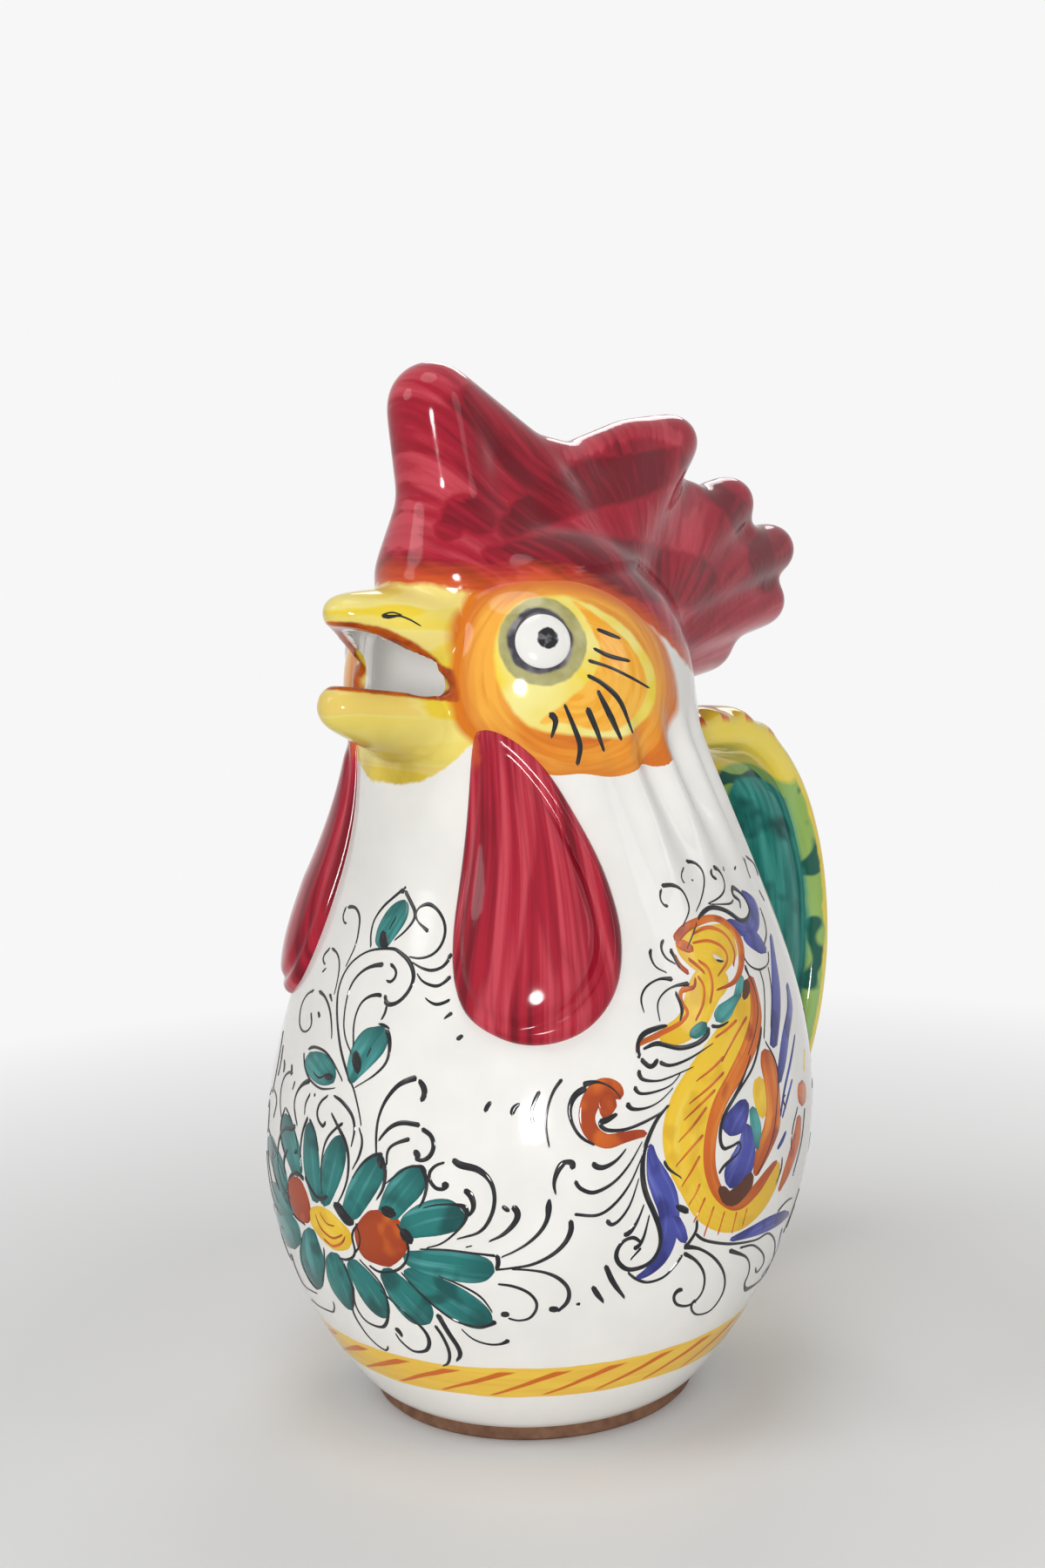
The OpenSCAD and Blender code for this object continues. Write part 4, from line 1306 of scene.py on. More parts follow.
# %% [markdown]
# ## The brush
# The flowers and scrolls are painted with a loaded brush over the white glaze, so every stroke is a
# thin, closed ribbon of colour that lies on the skin. It could be drawn in a texture, but ribbons
# stay sharp at any distance. A stroke is a list of (x, y, width) in pixels of the photograph. Its
# ends are round, and it stores how far along and across the stroke each point is, for the bristles.

# %% Sweep a stroke
WIDE_STROKE, BURIED, EDGE_SINK = 9, -0.35, -0.03


def swept(pixels):
    """A line through a stroke, its half widths with round ends, the way along it, and its sides."""
    pixels = np.asarray(pixels, float)
    wide = pixels[:, 2].max() >= WIDE_STROKE
    step, sides = (3.5, 13) if wide else (2.9, 5)
    line = open_line(pixels, int(max(8, np.abs(np.diff(pixels[:, :2], axis=0)).sum() / step)))
    way = np.concatenate([[0], np.cumsum(np.linalg.norm(np.diff(line[:, :2], axis=0), axis=1))])
    half = line[:, 2] / 2
    for reach, end in ((way, max(half[0], 0.6)), (way[-1] - way, max(half[-1], 0.6))):
        half = half * np.sqrt(np.maximum(0.02, 1 - np.maximum(0, 1 - reach / end) ** 2))
    return line, half, way, np.linspace(-1, 1, sides)


def spread(middle, half, across, side):
    """Rows of points across a line of middles."""
    return middle[:, None, :] + half[:, None, None] * across[None, :, None] * side[:, None, :]


def even(steps):
    return steps / (np.linalg.norm(steps, axis=1)[:, None] + 1e-9)


def heights(across, rise):
    """How far a stroke stands out across its width, sunk in at its edges."""
    return EDGE_SINK + (rise - EDGE_SINK) * (1 - np.abs(across) ** 6)


def ribbon(top, low, half, way, across, tint):
    """One stroke as rings of points, with the values that its finish reads."""
    side = half[:, None] * across
    both = np.concatenate([side, side[:, ::-1]], 1)
    along = np.repeat(way[:, None], both.shape[1], 1)
    bristle = np.stack([both, along, np.full(both.shape, top[0, 0, 2] * 7)], -1) / PIXELS_PER_MM
    edge = np.tile(np.concatenate([np.abs(across), np.ones(len(across))]), (len(way), 1))
    marks = {"edge": edge, "end": along / way[-1], "tint": np.full(both.shape, tint), "brush": bristle}
    return np.concatenate([top, low[:, ::-1]], 1), marks


# %% [markdown]
# ## Strokes on the skin
# A broad stroke is put on the skin point by point, so its outline is as seen. A hairline is too thin
# for that: only its middle is, and it gets its width there. Copies turn a stroke to the other flank
# or further round.

# %% Strokes on the skin
ONCE, BOTH_FLANKS, BESIDE_FLOWER = ((1, 0),), ((1, 0), (-1, 0)), ((-1, 16),)
SEEN_AND_BEHIND = ((1, 0), (-1, 178), (1, -178))


def broad(line, half, across):
    heading = even(np.gradient(line[:, :2], axis=0))
    seen = spread(line[:, :2], half, across, np.stack([-heading[:, 1], heading[:, 0]], 1))
    return on_photo(seen.reshape(-1, 2)).reshape(len(line), len(across), 2)


def hairline(line, half, across):
    middle = on_photo(line[:, :2])
    middle[:, 0] = np.convolve(np.pad(middle[:, 0], 2, mode="edge"), np.ones(5) / 5, "valid")
    scale = np.radians(skin_radius(middle[:, 1]))
    step = even(np.gradient(middle * np.stack([scale, np.ones(len(scale))], 1), axis=0))
    return spread(middle, half / PIXELS_PER_MM, across, np.stack([-step[:, 1] / scale, step[:, 0]], 1))


def on_the_skin(strokes, rise, tint, copies):
    """Strokes on the skin; each copy turns their angle from the beak by a sign and a shift."""
    ribbons = []
    for pixels in strokes:
        line, half, way, across = swept(pixels)
        place = (broad if len(across) > 5 else hairline)(line, half, across)
        height = heights(across, rise)[None, :]
        for sign, shift in copies:
            azimuth, z = sign * place[..., 0] + shift, place[..., 1]
            ribbons.append(ribbon(on_skin(azimuth, z, height), on_skin(azimuth, z, BURIED), half, way, across, tint))
    return ribbons


# %% [markdown]
# ## The flower in front
# Between and under the wattles stands a blossom with two orange hearts, a striped yellow middle and
# teal petals all round, on a stem with three buds and fine black scrolls. All of it is one spray, so
# it isn't mirrored. Only the scrolls to its right come back on the sides that the photograph hides.

# %% Petals, buds and hearts
PETALS = [
    [(326, 1362, 10), (320, 1340, 15), (313, 1318, 11), (310, 1302, 4)], [(341, 1344, 12), (336, 1322, 19),
    (330, 1298, 17), (328, 1278, 6)], [(363, 1374, 10), (359, 1350, 18), (357, 1325, 19), (355, 1300, 12),
    (355, 1288, 4)], [(374, 1378, 10), (378, 1355, 26), (384, 1330, 28), (388, 1312, 18), (390, 1303, 6)],
    [(402, 1394, 20), (412, 1372, 32), (425, 1348, 34), (434, 1332, 20), (438, 1325, 6)], [(444, 1396, 22),
    (456, 1376, 36), (470, 1358, 40), (480, 1346, 26), (485, 1341, 8)], [(466, 1410, 24), (484, 1402, 40),
    (505, 1397, 44), (522, 1396, 36), (534, 1394, 14)], [(470, 1444, 14), (490, 1449, 30), (515, 1452, 36),
    (540, 1456, 36), (558, 1458, 28), (568, 1460, 10)], [(470, 1462, 12), (490, 1474, 26), (515, 1490, 36),
    (540, 1506, 36), (556, 1515, 26), (565, 1520, 8)], [(444, 1462, 14), (456, 1478, 28), (470, 1494, 34),
    (484, 1508, 32), (494, 1519, 14)], [(405, 1452, 12), (416, 1468, 24), (428, 1486, 28), (438, 1502, 22),
    (445, 1513, 8)], [(382, 1444, 14), (387, 1460, 26), (394, 1478, 26), (400, 1494, 16), (404, 1504, 6)],
    [(355, 1416, 12), (356, 1434, 26), (360, 1452, 28), (365, 1470, 16), (368, 1480, 6)], [(322, 1394, 16),
    (330, 1408, 26), (336, 1424, 22), (339, 1434, 8)], [(332, 1390, 10), (326, 1382, 22), (318, 1368, 16),
    (311, 1356, 6)]]
BUDS = [
    [(436, 1089, 14), (444, 1070, 24), (455, 1052, 26), (462, 1040, 18), (465, 1033, 6)], [(402, 1244, 6),
    (408, 1228, 22), (418, 1210, 34), (428, 1196, 36), (436, 1186, 26), (440, 1178, 8)], [(356, 1208, 18),
    (364, 1221, 32), (374, 1234, 30), (383, 1243, 12)]]
HEARTS = [
    [(336, 1350, 12), (339, 1362, 20), (343, 1378, 24), (348, 1392, 20), (354, 1404, 8)], [(424, 1390, 30),
    (430, 1404, 52), (437, 1421, 60), (444, 1438, 52), (448, 1454, 26)]]
FLOWER_MIDDLE = [
    [(358, 1386, 14), (368, 1398, 28), (380, 1412, 32), (392, 1424, 30), (400, 1434, 16)]]
MIDDLE_STRIPES = [
    [(362, 1393, 3), (369, 1410, 4), (382, 1421, 5), (395, 1417, 3)], [(367, 1391, 2), (375, 1404, 3), (386, 1408, 3)],
    [(371, 1421, 3), (382, 1430, 5), (393, 1427, 5), (397, 1419, 3)]]
FLOWER_BLOTS = [
    [(350, 1350, 6), (358, 1366, 8), (367, 1376, 7), (378, 1373, 8)], [(384, 1380, 8), (392, 1391, 11),
    (400, 1401, 12), (406, 1406, 7)], [(438, 1386, 10), (446, 1391, 15), (455, 1395, 10)], [(461, 1410, 9),
    (467, 1419, 14), (473, 1428, 7)], [(440, 1068, 6), (441, 1080, 13), (440, 1089, 8)], [(409, 1206, 8),
    (410, 1220, 13), (411, 1233, 6)], [(372, 1234, 6), (378, 1236, 10), (383, 1236, 5)], [(436, 1326, 6),
    (437, 1333, 10), (438, 1342, 4)]]
print("petals and buds", len(PETALS) + len(BUDS))

# %% Stem and scrolls
STEM_LINES = [
    [(415, 1293, 2), (412, 1275, 2.5), (406, 1250, 3), (400, 1236, 4), (392, 1208, 4.5), (388, 1180, 4),
    (387, 1155, 4), (389, 1135, 3.5), (396, 1116, 3), (408, 1101, 3), (426, 1091, 3), (450, 1089, 4), (460, 1094, 5),
    (470, 1104, 6), (475, 1118, 6), (473, 1130, 5), (466, 1142, 5), (456, 1151, 5), (446, 1153, 6), (441, 1147, 8)],
    [(444, 1154, 4), (442, 1164, 4), (437, 1171, 3)], [(442, 1142, 5), (443, 1148, 6)], [(404, 1210, 2),
    (398, 1196, 2.5), (395, 1180, 2.5), (396, 1160, 2.5), (400, 1140, 3), (406, 1126, 3.5), (416, 1115, 4),
    (428, 1109, 5), (442, 1107, 7)], [(447, 1106, 5), (454, 1112, 4), (455, 1120, 4), (449, 1127, 4), (442, 1125, 3)],
    [(406, 1202, 3), (406, 1180, 3), (409, 1164, 3), (415, 1151, 3.5), (424, 1144, 4), (434, 1142, 5), (440, 1144, 5)],
    [(464, 1020, 5), (452, 1030, 4), (440, 1041, 4), (430, 1056, 3), (426, 1072, 3), (426, 1088, 3)], [(465, 1022, 5),
    (472, 1036, 5), (477, 1048, 5), (474, 1058, 4), (464, 1070, 3), (452, 1080, 2)], [(460, 1021, 3), (463, 1024, 6),
    (466, 1017, 3)], [(447, 1068, 2), (451, 1060, 4), (456, 1052, 3)], [(421, 1214, 2), (424, 1208, 4),
    (427, 1202, 3)], [(493, 1070, 6), (487, 1065, 4), (480, 1058, 2.5), (477, 1050, 3), (481, 1042, 3), (492, 1038, 5),
    (502, 1044, 4), (510, 1058, 4), (511, 1072, 4), (506, 1086, 4), (496, 1096, 3.5), (482, 1100, 3), (468, 1098, 2)],
    [(433, 1175, 2), (441, 1177, 4), (449, 1182, 2)], [(443, 1182, 8), (447, 1192, 7), (447, 1208, 5), (442, 1222, 4),
    (430, 1234, 3), (418, 1242, 2), (406, 1249, 2)], [(353, 1204, 5), (362, 1202, 4), (374, 1208, 3.5), (384, 1222, 3),
    (394, 1242, 2)], [(349, 1208, 3), (350, 1224, 3), (354, 1236, 3), (360, 1244, 3), (370, 1250, 3),
    (387, 1249, 1.5)], [(358, 1240, 8), (348, 1244, 6), (341, 1254, 4), (338, 1268, 3), (340, 1285, 3),
    (342, 1293, 2)], [(359, 1229, 2), (366, 1237, 4), (374, 1235, 4)], [(398, 1041, 6), (408, 1042, 4), (413, 1052, 4),
    (412, 1068, 3), (408, 1086, 2.5), (397, 1110, 1.5)], [(398, 1041, 5), (394, 1050, 3), (395, 1059, 3),
    (400, 1060, 4)], [(380, 1088, 5), (387, 1094, 3), (390, 1106, 3), (388, 1124, 2), (384, 1142, 1.5)],
    [(380, 1088, 4), (372, 1096, 4), (371, 1104, 3), (375, 1108, 4)], [(375, 1111, 2), (370, 1116, 4)],
    [(362, 1137, 5), (354, 1140, 3.5), (347, 1152, 3), (344, 1170, 3), (346, 1182, 3), (353, 1184, 3), (358, 1176, 3),
    (357, 1162, 4)], [(365, 1137, 6), (373, 1144, 4), (379, 1160, 3.5), (381, 1180, 2.5), (381, 1193, 1.5)],
    [(338, 1233, 5), (330, 1231, 4), (324, 1244, 3), (322, 1266, 2), (324, 1288, 1.5)], [(310, 1252, 4),
    (316, 1253, 4), (318, 1266, 3), (314, 1283, 3)], [(339, 1241, 4), (336, 1251, 2)], [(357, 1255, 4), (351, 1266, 3),
    (350, 1280, 1.5)], [(362, 1255, 4), (361, 1259, 3)], [(378, 1257, 3), (368, 1265, 4), (364, 1278, 4),
    (367, 1289, 4), (372, 1293, 5), (374, 1287, 5)], [(382, 1257, 3), (393, 1265, 5), (404, 1280, 5), (407, 1297, 4),
    (403, 1317, 2)], [(412, 1294, 2), (416, 1310, 4), (412, 1328, 4), (404, 1343, 1.5)]]
PETAL_LINES = [
    [(380, 1277, 3), (388, 1293, 5), (396, 1310, 6), (400, 1328, 5), (399, 1352, 4), (393, 1371, 3), (387, 1382, 2)],
    [(395, 1289, 5), (386, 1295, 4), (375, 1308, 4), (370, 1328, 3), (369, 1352, 3), (370, 1371, 2)], [(404, 1353, 2),
    (415, 1337, 4), (428, 1327, 5), (441, 1325, 6)], [(436, 1330, 9), (442, 1343, 5), (440, 1363, 4), (432, 1378, 2)],
    [(442, 1359, 2), (454, 1350, 3), (467, 1341, 3), (480, 1339, 4), (486, 1343, 8), (490, 1360, 5), (486, 1378, 4),
    (480, 1387, 2)], [(484, 1387, 2), (502, 1383, 3), (523, 1383, 4), (535, 1388, 8), (534, 1402, 4), (521, 1417, 3),
    (506, 1428, 2.5), (488, 1433, 2)], [(480, 1434, 2), (512, 1435, 3), (545, 1439, 3), (571, 1442, 4)],
    [(570, 1440, 6), (573, 1450, 6), (569, 1459, 5)], [(502, 1464, 2), (530, 1476, 3), (552, 1489, 3), (566, 1507, 2)],
    [(460, 1460, 2), (480, 1482, 3), (502, 1502, 3), (525, 1517, 4), (552, 1523, 5), (571, 1517, 8)], [(436, 1480, 2),
    (452, 1495, 3), (469, 1510, 4), (486, 1526, 5), (493, 1539, 6), (490, 1550, 5), (475, 1551, 4), (460, 1539, 3),
    (454, 1530, 2)], [(453, 1524, 7), (458, 1528, 8.5), (462, 1535, 4)], [(406, 1476, 3), (408, 1497, 3),
    (419, 1515, 3), (434, 1523, 4), (443, 1521, 5), (446, 1506, 4), (443, 1486, 3), (434, 1469, 3), (412, 1445, 2)],
    [(393, 1447, 4), (402, 1469, 4), (406, 1486, 4), (405, 1504, 4), (417, 1526, 3), (430, 1541, 2.5), (443, 1550, 3),
    (447, 1545, 3)], [(499, 1521, 5), (508, 1534, 5), (516, 1552, 5), (515, 1565, 4), (507, 1568, 2)], [(502, 1508, 8),
    (515, 1530, 7), (525, 1545, 7), (529, 1556, 6), (523, 1563, 3)], [(529, 1525, 1.5), (543, 1537, 2.5),
    (560, 1543, 3), (575, 1543, 4), (586, 1538, 8)], [(347, 1421, 3), (346, 1443, 3), (353, 1465, 3), (362, 1478, 3),
    (368, 1480, 3)], [(372, 1432, 3), (373, 1456, 3), (370, 1471, 2)], [(308, 1293, 3), (313, 1310, 2), (320, 1330, 2),
    (328, 1356, 2)], [(328, 1271, 4), (323, 1287, 4), (323, 1308, 3), (328, 1328, 2)], [(328, 1271, 3),
    (334, 1284, 2.5), (340, 1304, 2), (343, 1326, 1.5)], [(354, 1282, 6), (348, 1297, 5), (345, 1321, 3),
    (346, 1345, 2)], [(355, 1284, 5), (362, 1300, 3), (366, 1323, 2)], [(331, 1358, 4), (332, 1378, 3), (338, 1395, 3),
    (352, 1407, 3)], [(331, 1356, 4), (334, 1349, 6), (341, 1346, 7), (350, 1355, 7)], [(412, 1404, 3), (404, 1417, 4),
    (408, 1439, 4), (399, 1446, 4), (388, 1444, 3)], [(408, 1404, 3), (413, 1417, 3), (413, 1430, 3), (404, 1443, 3)],
    [(455, 1404, 4), (465, 1419, 4), (469, 1434, 4), (467, 1447, 4), (456, 1458, 4), (436, 1460, 4), (423, 1452, 3)],
    [(335, 1440, 2), (340, 1456, 2.5), (350, 1476, 2), (366, 1486, 2)], [(356, 1490, 2), (368, 1500, 2),
    (384, 1506, 3), (383, 1494, 2)]]
SIDE_SCROLLS = [
    [(472, 1104, 2), (484, 1111, 3), (496, 1114, 4), (508, 1110, 4), (515, 1102, 5), (518, 1094, 6)], [(478, 1117, 2),
    (486, 1127, 3), (500, 1132, 4), (510, 1128, 4), (518, 1120, 6)], [(487, 1145, 2), (495, 1151, 3), (502, 1153, 4),
    (510, 1151, 4), (518, 1147, 4)], [(509, 1170, 2), (520, 1162, 6)], [(524, 1194, 6), (532, 1188, 5)],
    [(432, 1326, 3), (432, 1302, 4), (435, 1282, 4), (443, 1263, 5), (456, 1247, 6), (469, 1240, 7), (480, 1237, 8)],
    [(480, 1239, 5), (486, 1247, 8), (488, 1256, 8), (483, 1265, 6)], [(434, 1310, 3), (447, 1295, 5), (462, 1289, 6),
    (484, 1292, 6)], [(483, 1295, 6), (495, 1304, 6), (498, 1317, 6), (493, 1328, 6), (484, 1332, 5), (475, 1329, 6)],
    [(475, 1320, 6), (479, 1325, 8.8), (482, 1330, 6)], [(444, 1338, 3), (445, 1321, 4), (454, 1313, 4),
    (472, 1307, 6)], [(512, 1334, 3), (499, 1339, 4), (492, 1350, 5), (499, 1363, 5), (509, 1365, 5), (515, 1360, 6)],
    [(507, 1358, 8), (512, 1361, 8.8), (516, 1363, 6)], [(519, 1330, 6), (528, 1337, 8.8), (549, 1343, 8),
    (563, 1356, 6), (568, 1375, 5), (564, 1396, 5), (551, 1414, 4), (523, 1423, 2)], [(532, 1365, 7), (541, 1373, 8),
    (544, 1387, 6), (537, 1397, 3)], [(588, 1384, 8), (595, 1393, 8), (591, 1404, 7), (578, 1417, 5), (560, 1426, 2)],
    [(534, 1432, 2), (543, 1430, 2)], [(576, 1384, 4), (581, 1388, 6), (586, 1391, 3)], [(574, 1444, 2),
    (590, 1437, 3), (608, 1426, 4), (622, 1412, 5), (629, 1398, 6), (630, 1386, 8), (631, 1376, 3)], [(568, 1458, 3),
    (586, 1456, 3), (610, 1452, 4), (632, 1442, 5), (648, 1428, 6), (656, 1412, 7), (655, 1400, 6)], [(586, 1457, 3),
    (606, 1458, 3), (626, 1461, 4), (642, 1468, 5), (653, 1480, 5), (652, 1494, 6), (640, 1506, 4)], [(629, 1503, 6),
    (636, 1503, 8.8), (642, 1505, 7)], [(570, 1474, 3), (590, 1477, 4), (608, 1485, 4), (617, 1498, 4), (610, 1512, 4),
    (596, 1516, 3), (582, 1513, 3)], [(574, 1508, 6), (580, 1509, 8.5), (586, 1508, 6)], [(656, 1343, 6),
    (659, 1336, 8), (650, 1334, 6), (644, 1338, 8), (638, 1350, 6), (636, 1362, 4), (639, 1372, 2)], [(557, 1277, 5),
    (559, 1271, 6), (564, 1264, 5)], [(588, 1281, 5), (589, 1273, 7), (598, 1266, 3)], [(620, 1252, 5), (613, 1266, 5),
    (610, 1280, 4), (613, 1291, 5)], [(646, 1238, 5), (636, 1252, 4), (629, 1272, 3), (627, 1294, 3), (631, 1318, 2)],
    [(695, 1452, 6), (704, 1472, 7), (718, 1491, 3)], [(680, 1476, 6), (686, 1486, 7), (694, 1496, 3)],
    [(662, 1496, 5), (666, 1498, 5)]]
print("flower lines", len(STEM_LINES) + len(PETAL_LINES) + len(SIDE_SCROLLS))

# %% [markdown]
# ## The winged beast on the flank
# Each flank carries a winged beast of the old kind that pottery painters put among scrolls, with a
# yellow body, a striped neck, a blue wing and a curled tail. The photograph shows the left flank, and
# the right one is its mirror image.

# %% Body, neck and tail of the beast
BODY_YELLOW = [
    [(856, 1130, 12), (856, 1152, 26), (848, 1180, 42), (832, 1210, 52), (814, 1240, 58), (798, 1270, 62),
    (790, 1300, 62), (792, 1330, 58), (803, 1360, 50), (818, 1388, 44), (840, 1400, 32), (864, 1384, 28),
    (884, 1356, 20), (894, 1334, 6)], [(776, 1085, 20), (792, 1086, 44), (812, 1090, 62), (830, 1093, 66),
    (846, 1096, 36)], [(830, 1112, 50), (812, 1132, 44), (804, 1150, 40), (798, 1166, 36), (786, 1180, 32),
    (772, 1188, 28), (758, 1194, 12)], [(872, 1236, 10), (872, 1252, 16), (874, 1270, 14), (876, 1284, 6)],
    [(924, 1204, 8), (923, 1230, 7)]]
BODY_ORANGE = [
    [(861, 1120, 8), (866, 1145, 12), (867, 1170, 16), (860, 1200, 20), (845, 1232, 20), (828, 1262, 18),
    (818, 1292, 16), (814, 1322, 16), (816, 1348, 16), (826, 1372, 16), (845, 1384, 14), (866, 1368, 12),
    (882, 1346, 8), (892, 1332, 4)], [(775, 1080, 12), (788, 1065, 12), (807, 1056, 10), (825, 1055, 8),
    (842, 1068, 8), (850, 1085, 8), (851, 1108, 7), (843, 1127, 6), (822, 1137, 3)], [(793, 1073, 4), (813, 1065, 6),
    (832, 1072, 6), (843, 1092, 6), (842, 1110, 3)], [(793, 1083, 4), (813, 1080, 6), (830, 1088, 6), (835, 1103, 6),
    (823, 1122, 3)], [(800, 1102, 5), (813, 1112, 7), (818, 1132, 7), (815, 1153, 5)], [(800, 1120, 5), (808, 1132, 6),
    (807, 1153, 6), (798, 1173, 4)], [(798, 1122, 5), (797, 1133, 7), (782, 1138, 7), (783, 1152, 6), (790, 1162, 7),
    (780, 1175, 8), (758, 1187, 8), (735, 1198, 6), (730, 1205, 3)], [(774, 1096, 6), (780, 1108, 7), (792, 1118, 6)],
    [(776, 1082, 13), (786, 1086, 15), (796, 1092, 10)], [(789, 1100, 5), (800, 1108, 6), (810, 1118, 4)],
    [(878, 1204, 9), (882, 1220, 18), (886, 1242, 18), (888, 1270, 17), (886, 1294, 19), (876, 1322, 17),
    (867, 1350, 6)], [(918, 1280, 5), (914, 1310, 9), (903, 1346, 8), (894, 1368, 3)], [(921, 1240, 8),
    (921, 1256, 11), (921, 1270, 6)], [(847, 1170, 6), (834, 1182, 5), (820, 1192, 3)], [(858, 1166, 6),
    (844, 1190, 5), (828, 1220, 3)], [(832, 1212, 6), (816, 1228, 5), (798, 1242, 2)], [(832, 1230, 6), (812, 1250, 5),
    (790, 1268, 2)], [(822, 1250, 6), (804, 1268, 5), (784, 1287, 2)], [(812, 1270, 6), (796, 1292, 5),
    (778, 1312, 2)], [(808, 1302, 6), (792, 1320, 5), (775, 1340, 2)], [(804, 1326, 6), (794, 1344, 5),
    (782, 1363, 2)], [(804, 1358, 6), (798, 1372, 4), (790, 1384, 2)], [(810, 1374, 6), (803, 1390, 4),
    (796, 1404, 2)], [(820, 1384, 6), (814, 1402, 4), (808, 1420, 2)], [(832, 1390, 5), (828, 1404, 4),
    (824, 1418, 2)], [(846, 1390, 5), (840, 1416, 2)], [(858, 1386, 5), (852, 1408, 2)]]
TAIL_CURL = [
    [(712, 1262, 10), (706, 1251, 20), (692, 1250, 26), (680, 1262, 24), (674, 1282, 20), (680, 1300, 19),
    (696, 1310, 18), (715, 1306, 14), (732, 1302, 11), (743, 1301, 8)], [(688, 1264, 24), (699, 1268, 36),
    (708, 1270, 22)]]
BROWN_SHADES = [
    [(826, 1362, 12), (838, 1378, 20), (854, 1364, 18), (863, 1346, 8)], [(857, 1124, 9), (857, 1136, 11),
    (854, 1148, 6)]]
EYE_WHITE = [
    [(817, 1096, 3), (824, 1100, 8), (832, 1105, 2)]]

# %% Wing and outlines of the beast
WING_BLUE = [
    [(747, 1313, 6), (749, 1330, 14), (755, 1350, 26), (763, 1370, 30), (768, 1390, 26), (768, 1410, 22),
    (766, 1428, 18), (758, 1446, 14), (744, 1460, 10), (730, 1468, 5)], [(772, 1395, 14), (780, 1412, 16),
    (787, 1427, 9)], [(856, 1262, 10), (850, 1276, 22), (842, 1292, 28), (838, 1304, 18)], [(858, 1290, 10),
    (858, 1312, 20), (852, 1334, 30), (844, 1350, 28), (838, 1364, 10)], [(852, 1022, 4), (862, 1034, 9),
    (866, 1050, 12), (861, 1066, 20), (848, 1064, 16), (834, 1056, 6)], [(856, 1068, 16), (866, 1080, 18),
    (879, 1094, 9)], [(885, 1072, 3), (888, 1098, 6), (891, 1132, 10), (891, 1165, 11), (888, 1203, 9)],
    [(904, 1128, 3), (907, 1157, 7), (902, 1190, 9), (898, 1220, 9), (894, 1244, 6)], [(913, 1187, 4), (908, 1218, 7),
    (901, 1250, 6), (896, 1282, 5)], [(910, 1238, 5), (904, 1262, 6), (898, 1284, 4)], [(903, 1298, 6), (898, 1310, 8),
    (892, 1320, 5)], [(838, 1424, 5), (866, 1413, 13), (888, 1402, 15), (906, 1391, 8)], [(898, 1410, 8),
    (890, 1440, 7), (874, 1466, 3)]]
WING_TEAL = [
    [(864, 1270, 8), (868, 1294, 13), (870, 1320, 6)], [(822, 1172, 14), (832, 1162, 22), (840, 1152, 14),
    (851, 1140, 6)], [(850, 1118, 6), (850, 1132, 11), (845, 1147, 8)]]
NECK_TEAL = [
    [(792, 1190, 12), (802, 1182, 18), (811, 1174, 12)]]
